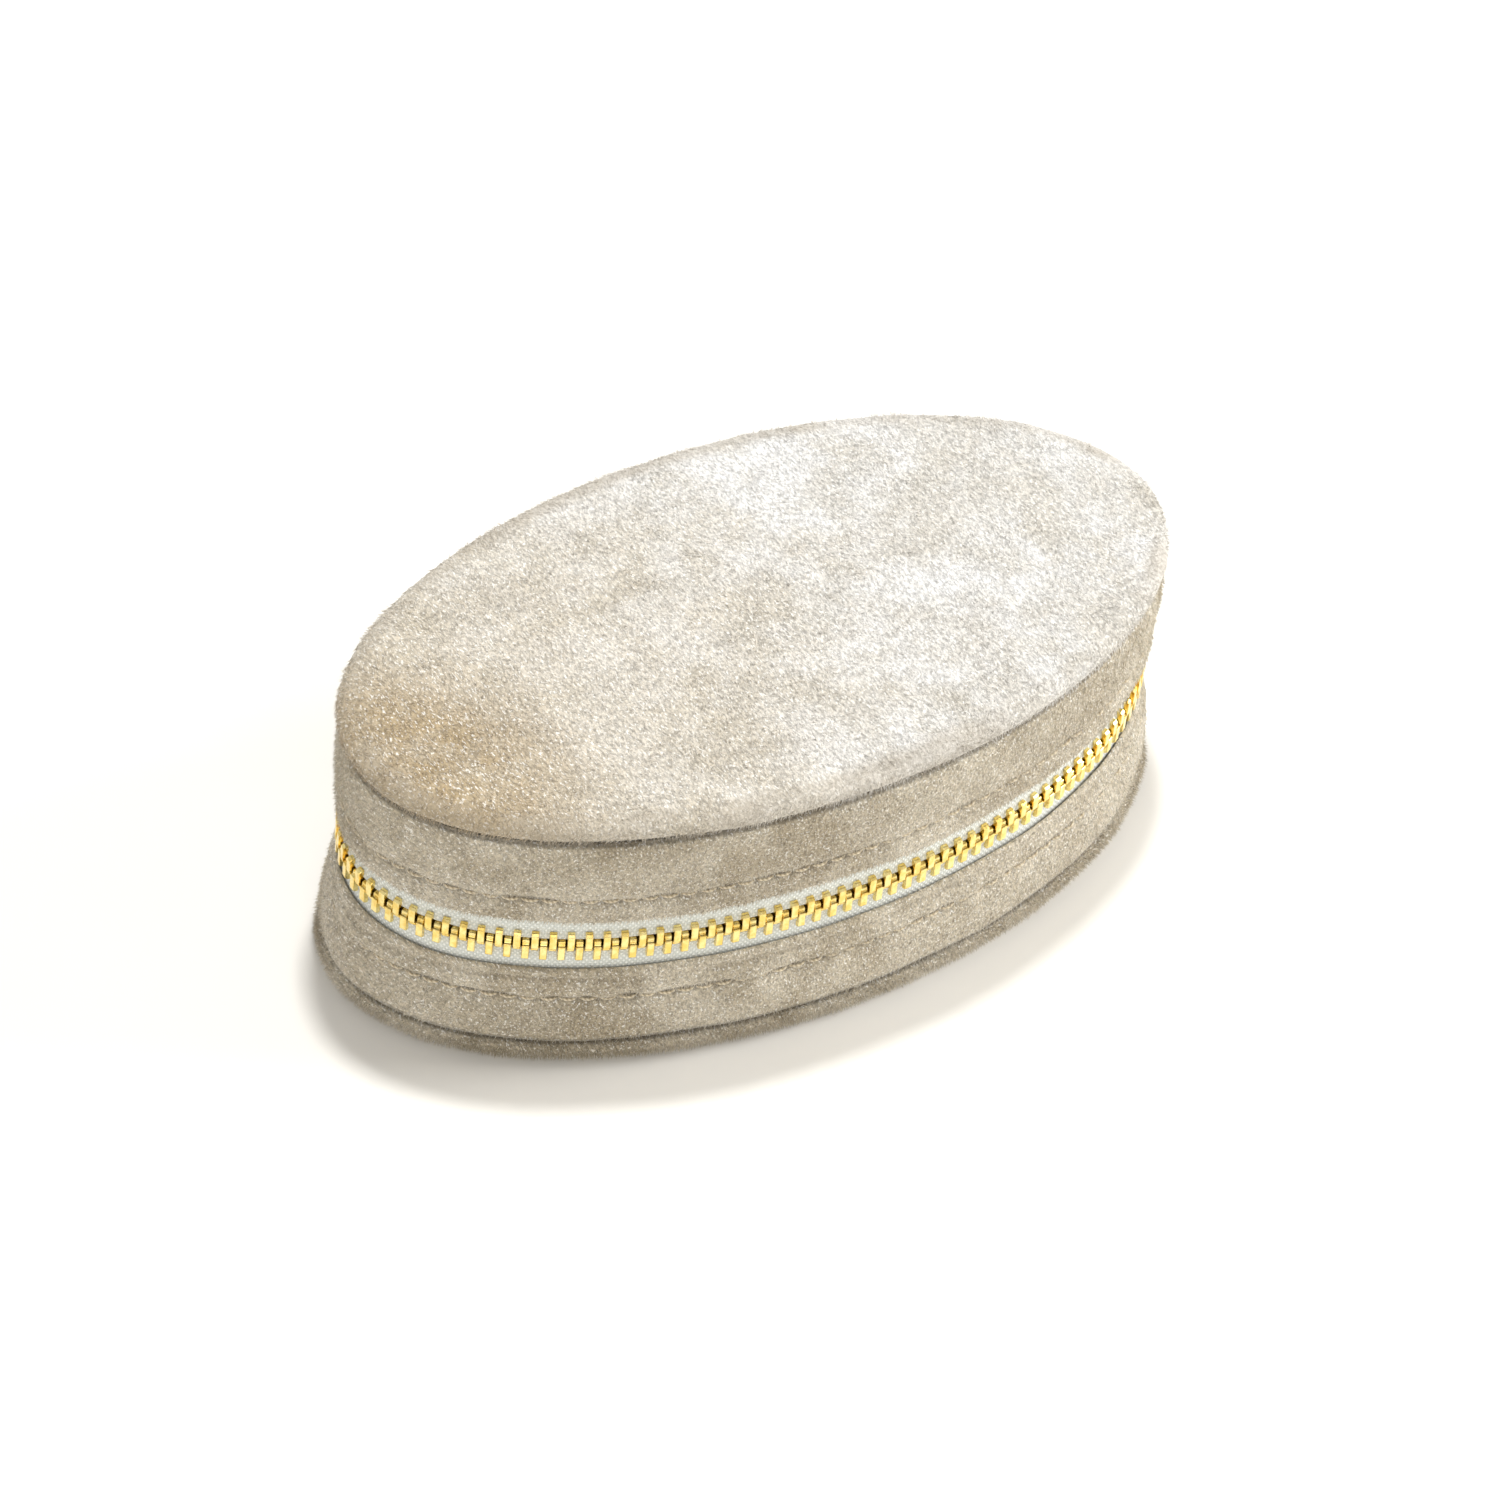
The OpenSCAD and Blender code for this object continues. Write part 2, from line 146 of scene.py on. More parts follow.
# grid is [row across][column around]; the outside is on the left of the rows as they run
def surface(name, grid, material, aroundClosed, acrossClosed=False, poles=(False, False), pile=None):
    rows, columns = grid.shape[:2]
    vertices = grid.reshape(-1, 3)
    faces, uvs = [], []
    middle = grid[rows // 2]
    steps = np.linalg.norm(np.diff(np.concatenate([middle, middle[:1]]), axis=0), axis=1)
    u = np.concatenate([[0], np.cumsum(steps)])
    v = np.concatenate([[0], np.cumsum(np.linalg.norm(
        np.diff(np.concatenate([grid[:, 0], grid[:1, 0]]), axis=0), axis=1))])
    for j in range(rows if acrossClosed else rows - 1):
        k = (j + 1) % rows
        for i in range(columns if aroundClosed else columns - 1):
            n = (i + 1) % columns
            faces.append((j * columns + i, j * columns + n, k * columns + n, k * columns + i))
            uvs.extend([(u[i], v[j]), (u[i + 1], v[j]), (u[i + 1], v[j + 1]), (u[i], v[j + 1])])
    if not aroundClosed:
        for column, turned in ((0, False), (columns - 1, True)):
            cap = [j * columns + column for j in range(rows)]
            faces.append(cap[::-1] if turned else cap)
            uvs.extend([(0, 0)] * rows)
    mesh = bpy.data.meshes.new(name)
    mesh.from_pydata(vertices.tolist(), [], faces)
    layer = mesh.uv_layers.new(name="cloth")
    layer.data.foreach_set("uv", np.array(uvs, float).ravel())
    if pile is not None:
        attribute = mesh.attributes.new("pile", "FLOAT", "POINT")
        attribute.data.foreach_set("value", np.repeat(np.asarray(pile, np.float32), columns))
    mesh.materials.append(material)
    bm = bmesh.new()
    bm.from_mesh(mesh)
    bm.verts.ensure_lookup_table()
    rings = [[bm.verts[row * columns + i] for i in range(columns)]
             for atEnd, row in zip(poles, (0, rows - 1)) if atEnd]
    for ring in rings:
        bmesh.ops.pointmerge(bm, verts=ring, merge_co=sum((w.co for w in ring), Vector()) / columns)
    if bm.calc_volume(signed=True) < 0:
        bmesh.ops.reverse_faces(bm, faces=bm.faces)
    bm.to_mesh(mesh)
    bm.free()
    mesh.shade_smooth()
    return newObject(name, mesh)


# materials

def toLinear(hexColour):
    values = [int(hexColour[k:k + 2], 16) / 255 for k in (1, 3, 5)]
    return [c / 12.92 if c <= 0.04045 else ((c + 0.055) / 1.055) ** 2.4 for c in values] + [1]


# an input is a value or a socket to link from, and out is the output that is handed back
def addNode(tree, kind, inputs=None, out=None, **settings):
    node = tree.nodes.new(kind)
    for key, value in settings.items():
        setattr(node, key, value)
    for key, value in (inputs or {}).items():
        if isinstance(value, bpy.types.NodeSocket):
            tree.links.new(value, node.inputs[key])
        else:
            node.inputs[key].default_value = value
    return node if out is None else node.outputs[out]


mixed = {"data_type": "RGBA"}
darkened = {"data_type": "RGBA", "blend_type": "MULTIPLY"}
eased = {"interpolation_type": "SMOOTHSTEP"}


def addUp(tree, *terms):
    total = 0.0
    for socket, weight in terms:
        total = addNode(tree, "ShaderNodeMath", {0: socket, 1: weight, 2: total}, 0, operation="MULTIPLY_ADD")
    return total


# values are constants on the shader's own sockets, links are patterns that vary over the surface
def newMaterial(name):
    material = bpy.data.materials.new(name)
    material.use_nodes = True
    tree = material.node_tree
    shader = tree.nodes["Principled BSDF"]
    where = addNode(tree, "ShaderNodeTexCoord", out="Object")

    def finish(bump=None, **inputs):
        if bump:
            height, strength, distance = bump
            inputs["Normal"] = addNode(tree, "ShaderNodeBump", {
                "Height": height, "Strength": strength, "Distance": distance}, 0)
        for key, value in inputs.items():
            socket = shader.inputs[key.replace("_", " ")]
            if isinstance(value, bpy.types.NodeSocket):
                tree.links.new(value, socket)
            else:
                socket.default_value = value
        return material
    return tree, where, finish


# Crushed viscose-pile velvet, woven, then pressed: pale where the nap lies towards the light, tan where it
# stands away, with a fine silky glitter from single fibres; sheen and glitter are painted into the colour, and so,
# where a look asks for it, is shade in creases, on rolled edges and where the nap is crushed away from the light
def makeVelvet(name, look):
    tree, where, finish = newMaterial(name)
    broad = addNode(tree, "ShaderNodeTexNoise", {
        "Vector": where, "Scale": 1 / look["patch"], "Detail": 3, "Distortion": 0.8, "Roughness": 0.55}, 0)
    crush = addNode(tree, "ShaderNodeTexNoise", {
        "Vector": where, "Scale": 1 / look["crush"], "Detail": 4, "Distortion": 0.4, "Roughness": 0.6}, 0)
    along = addNode(tree, "ShaderNodeMapping", {
        "Vector": where, "Rotation": look["turn"], "Scale": (1.0, 0.45, 1.0)}, 0)
    fibre = addNode(tree, "ShaderNodeTexNoise", {
        "Vector": along, "Scale": 1 / look["fibre"], "Detail": 3, "Distortion": 0.3, "Roughness": 0.75}, 0)
    glint = addNode(tree, "ShaderNodeTexNoise", {
        "Vector": along, "Scale": 1 / look["glint"], "Detail": 1, "Roughness": 0.6}, 0)
    pile = addNode(tree, "ShaderNodeAttribute", None, "Fac", attribute_name="pile")

    def ease(socket, low, high, toLow=0.0, toHigh=1.0):
        return addNode(tree, "ShaderNodeMapRange", {
            0: socket, 1: low, 2: high, 3: toLow, 4: toHigh}, 0, **eased)

    def tint(colour, share, hexColour):
        return addNode(tree, "ShaderNodeMix", {0: share, 6: colour, 7: toLinear(hexColour)}, 2, **mixed)

    nap = ease(addUp(tree, (broad, look["broadShare"]), (crush, 1 - look["broadShare"])), 0.36, 0.62)
    colour = tint(toLinear(look["dark"]), nap, look["light"])
    # painted shade where the nap is crushed away from the light at the top's left end: a tan patch and a wider,
    # fading tan tint are painted into the colour; the worn colour here is this painted shade, not wear
    if "worn" in look:
        size = look["wornSize"]
        away = addNode(tree, "ShaderNodeVectorMath", {
            0: where, 1: look["wornPlace"]}, "Value", operation="DISTANCE")
        napShadePatch = addNode(tree, "ShaderNodeMath", {
            0: ease(away, size * 0.35, size, 1, 0), 1: ease(crush, 0.3, 0.62, 0.5, 1)}, 0, operation="MULTIPLY")
        colour = tint(colour, ease(away, size * 0.5, size * 3, 0.55, 0), look["napShadeGradient"])
        colour = tint(colour, napShadePatch, look["worn"])
    grain = ease(fibre, 0.34, 0.66, 1 - look["grain"], 1 + look["grain"] * 0.45)
    colour = addNode(tree, "ShaderNodeMix", {0: 1.0, 6: colour, 7: grain}, 2, **darkened)
    # painted highlights: single-fibre glints are painted into the colour as near-white specks
    colour = tint(colour, ease(glint, 0.58, 0.69, 0, look["sparkle"]), "#fffdf8")
    # painted shade: where the pile attribute is above 1, on the top's rolled edge, the colour is painted a darker
    # taupe where the cloth turns away from the light
    if "edge" in look:
        turned = addNode(tree, "ShaderNodeMath", {
            0: ease(pile, 1.02, 1.42, 0, 0.5), 1: ease(broad, 0.38, 0.6, 0.15, 1)}, 0, operation="MULTIPLY")
        colour = tint(colour, turned, look["edge"])
    # painted shade: where the pile attribute drops, in the seam grooves, on turned-in rows and along the stitch
    # rows, the colour is painted darker
    if "paintedCreaseShade" in look:
        colour = addNode(tree, "ShaderNodeMix", {
            0: 1.0, 6: colour, 7: ease(pile, 0, 0.9, look["paintedCreaseShade"], 1)}, 2, **darkened)
    height = addUp(tree, (fibre, 0.55), (glint, 0.25), (crush, 0.9))
    return finish(
        (height, look["bump"], look["fibre"] * 0.9), Base_Color=colour,
        Roughness=ease(crush, 0.3, 0.7, 0.82, 0.58), Sheen_Weight=look["sheen"], Sheen_Roughness=0.38,
        Sheen_Tint=toLinear("#fbf6ec"), Specular_IOR_Level=0.35, IOR=1.47)


velvetLook = {
    "dark": "#b0a38b", "light": "#cbc1ad", "patch": 34 * mm, "crush": 8 * mm, "fibre": 0.44 * mm,
    "glint": 0.33 * mm, "broadShare": 0.6, "grain": 0.4, "sparkle": 0.75, "bump": 0.9, "sheen": 0.55,
    "turn": (0.2, 0.3, 0.9),
}
# painted shade for the top: a darker taupe on the rolled edge, and a tan patch with a fading tan tint at the left
# end where the nap turns away from the light
napShadeLook = {"edge": "#b4a996", "worn": "#b09c79", "napShadeGradient": "#c1b294", "wornSize": 38 * mm,
            "wornPlace": (-73 * mm, -10 * mm, case["height"])}
# painted light: the top's cloth and nap are lit copies of the side velvet, the same cloth given paler colours for
# the overhead lamp on the top
topVelvetPaintedLight = makeVelvet("crushedVelvetTopPaintedLight", {
    **velvetLook, **napShadeLook, "dark": "#cdc8be", "light": "#e4e3e1", "paintedCreaseShade": 0.48})
sideVelvet = makeVelvet("crushedVelvetSide", {**velvetLook, "broadShare": 0.45, "paintedCreaseShade": 0.48})
topPilePaintedLight = makeVelvet("velvetPileTopPaintedLight", {
    **velvetLook, **napShadeLook, "worn": "#c0ac8b", "dark": "#d7d2ca", "light": "#f2f1f0",
    "bump": 0.1, "sheen": 0.7})
sidePile = makeVelvet("velvetPileSide", {
    **velvetLook, "dark": "#b9ad95", "light": "#d8cfbd", "bump": 0.1, "sheen": 0.7})


# Brushed suede cloth, glued over card: matt, with a short soft nap and a faint painted glitter of fibre glints
suede = makeVelvet("suedeLining", {
    "turn": (0, 0, 0.4), "dark": "#b9ab96", "light": "#cfc3b0", "patch": 24 * mm, "crush": 5 * mm,
    "fibre": 0.5 * mm, "glint": 0.25 * mm, "broadShare": 0.5, "grain": 0.14, "sparkle": 0.08,
    "bump": 0.5, "sheen": 0.35})


# wave texture scale for this length between crests
def waveScale(length):
    return 1 / length / 6.28 * 2


# Woven polyester tape, dyed cool grey: fine twill ribs slant across it, each thread a soft bump
def makeTapeCloth():
    tree, _, finish = newMaterial("wovenZipTape")
    uv = addNode(tree, "ShaderNodeUVMap", None, 0, uv_map="cloth")
    thread = 0.7 * mm
    ribs = []
    for turn in (0.7, -0.7):
        turned = addNode(tree, "ShaderNodeMapping", {"Vector": uv, "Rotation": (0, 0, turn)}, 0)
        ribs.append(addNode(tree, "ShaderNodeTexWave", {
            "Vector": turned, "Scale": waveScale(thread), "Distortion": 0.35, "Detail": 1}, "Fac"))
    weave = addNode(tree, "ShaderNodeMath", {0: ribs[0], 1: ribs[1]}, 0, operation="MULTIPLY")
    soil = addNode(tree, "ShaderNodeTexNoise", {"Vector": uv, "Scale": 1 / (6 * mm), "Detail": 3}, 0)
    woven = addNode(tree, "ShaderNodeMapRange", {0: weave, 1: 0.05, 2: 0.7}, 0, **eased)
    soiled = addNode(tree, "ShaderNodeMapRange", {0: soil, 1: 0.4, 2: 0.75, 4: 0.25}, 0, **eased)
    colour = addNode(tree, "ShaderNodeMix", {
        0: woven, 6: toLinear("#cfd2cb"), 7: toLinear("#f6f8f3")}, 2, **mixed)
    colour = addNode(tree, "ShaderNodeMix", {0: soiled, 6: colour, 7: toLinear("#dddfd8")}, 2, **mixed)
    return finish((weave, 0.7, 0.2 * mm), Base_Color=colour, Roughness=0.62, Sheen_Weight=0.25,
                  Sheen_Roughness=0.5)


# Gold-plated brass, die-cast and tumbled: bright, with faint polishing waves and dulled specks
def makeGold(name, light, dark, roughness):
    tree, where, finish = newMaterial(name)
    wear = addNode(tree, "ShaderNodeTexNoise", {"Vector": where, "Scale": 1 / (1.3 * mm), "Detail": 3}, 0)
    scratch = addNode(tree, "ShaderNodeTexNoise", {"Vector": where, "Scale": 1 / (0.3 * mm), "Detail": 2}, 0)
    worn = addNode(tree, "ShaderNodeMapRange", {0: wear, 1: 0.35, 2: 0.65}, 0, **eased)
    colour = addNode(tree, "ShaderNodeMix", {0: worn, 6: toLinear(dark), 7: toLinear(light)}, 2, **mixed)
    dulled = addNode(tree, "ShaderNodeMapRange", {
        0: scratch, 1: 0.3, 2: 0.7, 3: roughness * 0.7, 4: roughness * 1.4}, 0, **eased)
    height = addUp(tree, (scratch, 0.5), (wear, 0.5))
    return finish((height, 0.25, 0.05 * mm), Base_Color=colour, Metallic=1.0, Roughness=dulled)


# Spun polyester sewing thread: two plies twisted, so it is matt with slanting shadows
def makeThread():
    tree, where, finish = newMaterial("spunThread")
    turned = addNode(tree, "ShaderNodeMapping", {"Vector": where, "Rotation": (0.6, 0.5, 0.7)}, 0)
    ply = addNode(tree, "ShaderNodeTexWave", {
        "Vector": turned, "Scale": waveScale(0.55 * mm), "Distortion": 1.0}, "Fac")
    colour = addNode(tree, "ShaderNodeMix", {
        0: ply, 6: toLinear("#b3a183"), 7: toLinear("#e2d6bb")}, 2, **mixed)
    return finish(Base_Color=colour, Roughness=0.75, Sheen_Weight=0.3)


# Grey fibre board, pressed from pulp: matt, with flecks
def makeBoard():
    tree, where, finish = newMaterial("pressedBoard")
    fleck = addNode(tree, "ShaderNodeTexNoise", {
        "Vector": where, "Scale": 1 / (1.2 * mm), "Detail": 4, "Distortion": 0.3, "Roughness": 0.7}, 0)
    flecked = addNode(tree, "ShaderNodeMapRange", {0: fleck, 1: 0.35, 2: 0.7}, 0, **eased)
    colour = addNode(tree, "ShaderNodeMix", {
        0: flecked, 6: toLinear("#78746d"), 7: toLinear("#a19c92")}, 2, **mixed)
    return finish((fleck, 0.4, 0.1 * mm), Base_Color=colour, Roughness=0.9)


# Open-cell polyurethane foam, cast and sliced: pale, matt and pitted
def makeFoam():
    tree, where, finish = newMaterial("openCellFoam")
    cells = addNode(tree, "ShaderNodeTexVoronoi", {"Vector": where, "Scale": 1 / (0.8 * mm)}, 0)
    colour = addNode(tree, "ShaderNodeMix", {
        0: cells, 6: toLinear("#efe9da"), 7: toLinear("#cfc6b2")}, 2, **mixed)
    return finish((cells, 0.7, 0.3 * mm), Base_Color=colour, Roughness=0.95)


# Silvered float glass: a near-perfect mirror, with the faintest haze
def makeSilveredGlass():
    tree, where, finish = newMaterial("silveredGlass")
    haze = addNode(tree, "ShaderNodeTexNoise", {"Vector": where, "Scale": 1 / (18 * mm), "Detail": 3}, 0)
    colour = addNode(tree, "ShaderNodeMix", {
        0: haze, 6: toLinear("#dfe5e6"), 7: toLinear("#eef2f2")}, 2, **mixed)
    smeared = addNode(tree, "ShaderNodeMapRange", {0: haze, 1: 0.3, 2: 0.8, 3: 0.012, 4: 0.024}, 0, **eased)
    return finish(Base_Color=colour, Metallic=1.0, Roughness=smeared)


tapeCloth = makeTapeCloth()
toothGold = makeGold("platedToothGold", "#fbe7a0", "#f0cf74", 0.2)
sliderGold = makeGold("platedSliderGold", "#fbe7a0", "#f5da88", 0.17)
threadCloth = makeThread()
boardStock = makeBoard()
foamStock = makeFoam()
silveredGlass = makeSilveredGlass()
print("materials made")


# camera and light

view = {"azimuth": -35.57, "elevation": 44.11, "roll": 6.38, "distance": 1.184, "lens": 173.1,
        "right": 2.25 * mm, "up": 14.7 * mm}


def makeCamera():
    a, e, r = (math.radians(view[k]) for k in ("azimuth", "elevation", "roll"))
    back = Vector((math.sin(a) * math.cos(e), -math.cos(a) * math.cos(e), math.sin(e)))
    level = Vector((math.cos(a), math.sin(a), 0))
    upright = back.cross(level)
    right = level * math.cos(r) + upright * math.sin(r)
    up = upright * math.cos(r) - level * math.sin(r)
    target = right * view["right"] + up * view["up"]
    camera = bpy.data.objects.new("camera", bpy.data.cameras.new("camera"))
    camera.data.lens = view["lens"]
    camera.data.sensor_width = 36
    camera.data.clip_start = 0.01
    turn = Matrix((right, up, back)).transposed().to_4x4()
    camera.matrix_world = Matrix.Translation(target + back * view["distance"]) @ turn
    scene.collection.objects.link(camera)
    scene.camera = camera


lamps = {
    "overhead": {"place": (0.06, 0.14, 0.90), "size": 0.09, "power": 5.1, "tint": "#ffffff"},
    "frontFill": {"place": (-0.55, -0.85, 0.55), "size": 0.9, "power": 2.6, "tint": "#fffaf2"},
    "sideFill": {"place": (0.95, -0.35, 0.45), "size": 0.5, "power": 8.8, "tint": "#ffffff"},
}
studio = {"walls": "#ffffff", "ceiling": "#5a5a58", "strength": 0.70}


def makeLights():
    for name, lamp in lamps.items():
        light = bpy.data.lights.new(name, "AREA")
        light.shape = "DISK"
        light.size = lamp["size"]
        light.energy = lamp["power"]
        light.color = toLinear(lamp["tint"])[:3]
        holder = bpy.data.objects.new(name, light)
        holder.location = lamp["place"]
        holder.rotation_euler = (-Vector(lamp["place"])).to_track_quat("-Z", "Y").to_euler()
        scene.collection.objects.link(holder)
    world = bpy.data.worlds.new("studio")
    world.use_nodes = True
    tree = world.node_tree
    where = addNode(tree, "ShaderNodeTexCoord", out="Generated")
    height = addNode(tree, "ShaderNodeSeparateXYZ", {0: where}, 2)
    above = addNode(tree, "ShaderNodeMapRange", {0: height, 1: 0.72, 2: 0.92}, 0, **eased)
    colour = addNode(tree, "ShaderNodeMix", {
        0: above, 6: toLinear(studio["walls"]), 7: toLinear(studio["ceiling"])}, 2, **mixed)
    tree.links.new(colour, tree.nodes["Background"].inputs[0])
    tree.nodes["Background"].inputs[1].default_value = studio["strength"]
    scene.world = world
    scene.view_settings.view_transform = "Standard"


# Matt white acrylic sheet
def makeFloor():
    tree, where, finish = newMaterial("whiteFloor")
    cloud = addNode(tree, "ShaderNodeTexNoise", {"Vector": where, "Scale": 1 / (90 * mm)}, 0)
    colour = addNode(tree, "ShaderNodeMix", {
        0: cloud, 6: toLinear("#f6f3ec"), 7: toLinear("#faf8f3")}, 2, **mixed)
    half = 3.0
    mesh = bpy.data.meshes.new("floor")
    corners = [(-half, -half, 0), (half, -half, 0), (half, half, 0), (-half, half, 0)]
    mesh.from_pydata(corners, [], [(0, 1, 2, 3)])
    mesh.materials.append(finish(Base_Color=colour, Roughness=0.5))
    newObject("floor", mesh)


makeCamera()
makeLights()
makeFloor()
print("camera, lights and floor made")


# velvet panels and bands

around = evenAngles(0, case["aroundSteps"])


# rings of (inset, height) swept round the oval
def sweepRings(path, angles):
    grid = np.zeros((len(path), len(angles), 3))
    for j, (inset, z) in enumerate(path):
        grid[j, :, 0] = (case["halfLength"] - inset) * np.cos(angles)
        grid[j, :, 1] = (case["halfWidth"] - inset) * np.sin(angles)
        grid[j, :, 2] = z
    return grid


def pushOut(grid, amount, closedAround=True):
    return grid + gridNormals(grid, closedAround) * amount[..., None]


def flareAt(z):
    return case["flare"] * (case["baseFold"] - z) / (case["baseFold"] - case["bottomSeam"])


# how near each height is to a line, from 1 on it to 0 away from it
def nearLine(z, line, reach):
    return np.exp(-((z - line) / reach) ** 2)


bands = {
    "lidBand": {"pucker": 0.6 * mm, "puckerSize": 4.5 * mm, "ripple": 0.24 * mm, "rippleSize": 11 * mm,
                "crease": case["lidFold"] + 2.0 * mm, "creaseDepth": 0.25 * mm, "seed": 3.1},
    "baseBand": {"pucker": 0.7 * mm, "puckerSize": 4.5 * mm, "ripple": 0.26 * mm, "rippleSize": 12 * mm,
                 "crease": case["baseFold"] - 1.9 * mm, "creaseDepth": 0.6 * mm, "seed": 7.7},
}


# soft unevenness of the cloth, with puckers beside the stitch row and a wandering crease beside the fold
def relax(grid, look, line):
    z = grid[..., 2]
    squeezed = grid * np.array([1, 1, 0.35])
    pucker = noiseAt(squeezed, look["puckerSize"], look["seed"]) * nearLine(z, line, 3.2 * mm)
    pucker = pucker * look["pucker"]
    ripple = noiseAt(grid * np.array([1, 1, 0.6]), look["rippleSize"], look["seed"] + 5) * look["ripple"]
    wander = noiseAt(grid[:1] * np.array([1, 1, 0]), 17 * mm, look["seed"] + 9)
    come = np.clip(0.7 + 1.4 * noiseAt(grid[:1] * np.array([1, 1, 0]), 21 * mm, look["seed"] + 13), 0.15, 1)
    crease = nearLine(z, look["crease"] + wander * 0.9 * mm, 0.42 * mm) * look["creaseDepth"] * come
    return pushOut(grid, np.maximum(pucker + ripple, -0.2 * mm) - crease)


def lidBandPath():
    seam, fold, row = case["topSeam"] / mm, case["lidFold"] / mm, case["lidStitch"] / mm
    points = [(1.15, fold + 1.2), (1.0, fold + 0.2), (0.55, fold - 0.05), (0.08, fold + 0.35),
              (-0.08, fold + 1.4), (0.0, row - 1.5), (0.82, row - 0.2), (0.86, row + 0.16), (0.0, row + 1.6),
              (-0.14, row + 3.2), (-0.22, (row + seam) / 2), (-0.12, seam - 3.6), (0.08, seam - 2.2),
              (0.5, seam - 1.3), (1.0, seam - 0.85), (1.15, seam - 0.5)]
    return [(i * mm, z * mm) for i, z in points]


def baseBandPath():
    seam, fold, row = case["bottomSeam"] / mm, case["baseFold"] / mm, case["baseStitch"] / mm
    out = lambda z: 0.85 * flareAt(z * mm) / mm
    points = [(1.1, seam - 0.4), (0.8 - out(seam), seam - 0.4), (0.22 - out(seam), seam + 0.3),
              (-0.1 - out(seam + 2.3), seam + 2.2), (-0.15 - out(row - 3.4), row - 3.4),
              (0.05 - out(row), row - 1.5), (0.78 - out(row), row - 0.16), (0.82 - out(row), row + 0.18),
              (0.05 - out(row), row + 1.3), (-0.08 - out(row + 2.6), row + 2.6),
              (0.05 - out(fold - 1), fold - 1.2),
              (0.12, fold - 0.4), (0.55, fold + 0.02), (1.0, fold - 0.2), (1.15, fold - 1.2)]
    return [(i * mm, z * mm) for i, z in points]


# beside the seam the pile is also brought to nothing, which paints the velvet darker there as shade in the groove
seamRoom = {"lid": 1.0 * mm, "base": 0.15 * mm}  # kept clear of nap, beside the seam


def makeBand(name, path, look, line, node, body):
    outer = smoothPath(path, 56)
    back = np.array([[1.18 * mm, z] for z in np.linspace(outer[-1][1], outer[0][1], 8)[1:-1]])
    grid = sweepRings(np.concatenate([outer, back]), around)
    relaxed = relax(grid, look, line)
    grid[:len(outer)] = relaxed[:len(outer)]
    pile = np.zeros(len(grid))
    heights = outer[:, 1]
    shown = outer[:, 0] < 0.95 * mm
    seam = case["topSeam"] if body == "lid" else case["bottomSeam"]
    # painted shade: the pile drops to nothing beside the seam and on the rows turned in at the fold and seam, and
    # nearly so on the stitch row, and the velvet material paints those rows darker as shade in the groove and the
    # stitch crease
    clear = np.clip((np.abs(heights - seam) - seamRoom[body]) / (0.6 * mm), 0, 1)
    pile[:len(outer)] = np.where(shown, clear * (1.0 - 0.9 * nearLine(heights, line, 0.62 * mm)), 0)
    piece = surface(name, grid, sideVelvet, True, True, pile=pile)
    handIn(piece, [node], body)
    return piece


lidBand = makeBand("lidSideBand", lidBandPath(), bands["lidBand"], case["lidStitch"], "lid_side_band", "lid")
baseBand = makeBand("baseSideBand", baseBandPath(), bands["baseBand"], case["baseStitch"], "base_side_band",
                    "base")
print("side bands made")


topPanel = {"dome": 0.55 * mm, "lip": 0.5 * mm, "dimple": 0.30 * mm, "dimpleSize": 22 * mm,
            "crush": 0.10 * mm, "crushSize": 5 * mm, "seed": 1.3}


def makeTopPanel():
    seam, top, lip = case["topSeam"], case["height"], topPanel["lip"]
    rim = [(1.15 * mm, seam + 0.25 * mm), (0.95 * mm, seam + 0.3 * mm), (0.45 * mm, seam + 0.55 * mm),
           (-lip * 0.6, seam + 1.15 * mm), (-lip * 1.1, seam + 2.0 * mm), (-lip * 0.6, top - 1.15 * mm),
           (0.6 * mm, top - 0.5 * mm), (2.3 * mm, top - 0.12 * mm), (4.6 * mm, top + 0.06 * mm)]
    rimPath = smoothPath(rim, 34)
    inward = 1 - np.linspace(0, 1, 60)[1:]
    grid = sweepRings(rimPath, around)
    dome = [grid[-1] * np.array([t, t, 1]) + np.array([0, 0, topPanel["dome"] * (1 - t ** 2) ** 1.2])
            for t in inward]
    grid = np.concatenate([grid, np.array(dome)])
    lumps = noiseAt(grid, topPanel["dimpleSize"], topPanel["seed"]) * topPanel["dimple"]
    crush = noiseAt(grid, topPanel["crushSize"], topPanel["seed"] + 3) * topPanel["crush"]
    amount = lumps + crush
    amount[:6] = 0
    amount[-1] = amount[-1].mean()
    grid[1:-1] = pushOut(grid, amount)[1:-1]
    pocketTop = top - 0.98 * mm
    under = [(1.2 * mm, seam + 0.14 * mm), (1.2 * mm, pocketTop)]
    pocket = sweepRings(under[::-1], around)
    centre = pocket[0] * np.array([0, 0, 1])
    grid = np.concatenate([centre[None], pocket, grid])
    pile = np.ones(len(grid))
    pile[:3] = 0
    # the rim's pile is nothing in the groove under the lip and rises above 1 over the rolled edge: besides
    # thinning or thickening the nap, the top velvet paints the groove darker and the rolled edge a darker taupe,
    # both as painted shade
    pile[3:3 + len(rimPath)] = np.clip((rimPath[:, 1] - seam - 0.5 * mm) / (0.6 * mm), 0, 1) * (
        1 + 0.4 * np.clip((4.4 * mm - rimPath[:, 0]) / (3 * mm), 0, 1))
    piece = surface("lidTopPanel", grid, topVelvetPaintedLight, True, False, (True, True), pile)
    handIn(piece, ["lid_top_cover"], "lid")
    return piece


topPiece = makeTopPanel()


bottomPanel = {"ripple": 0.25 * mm, "rippleSize": 9 * mm, "seed": 11.0}


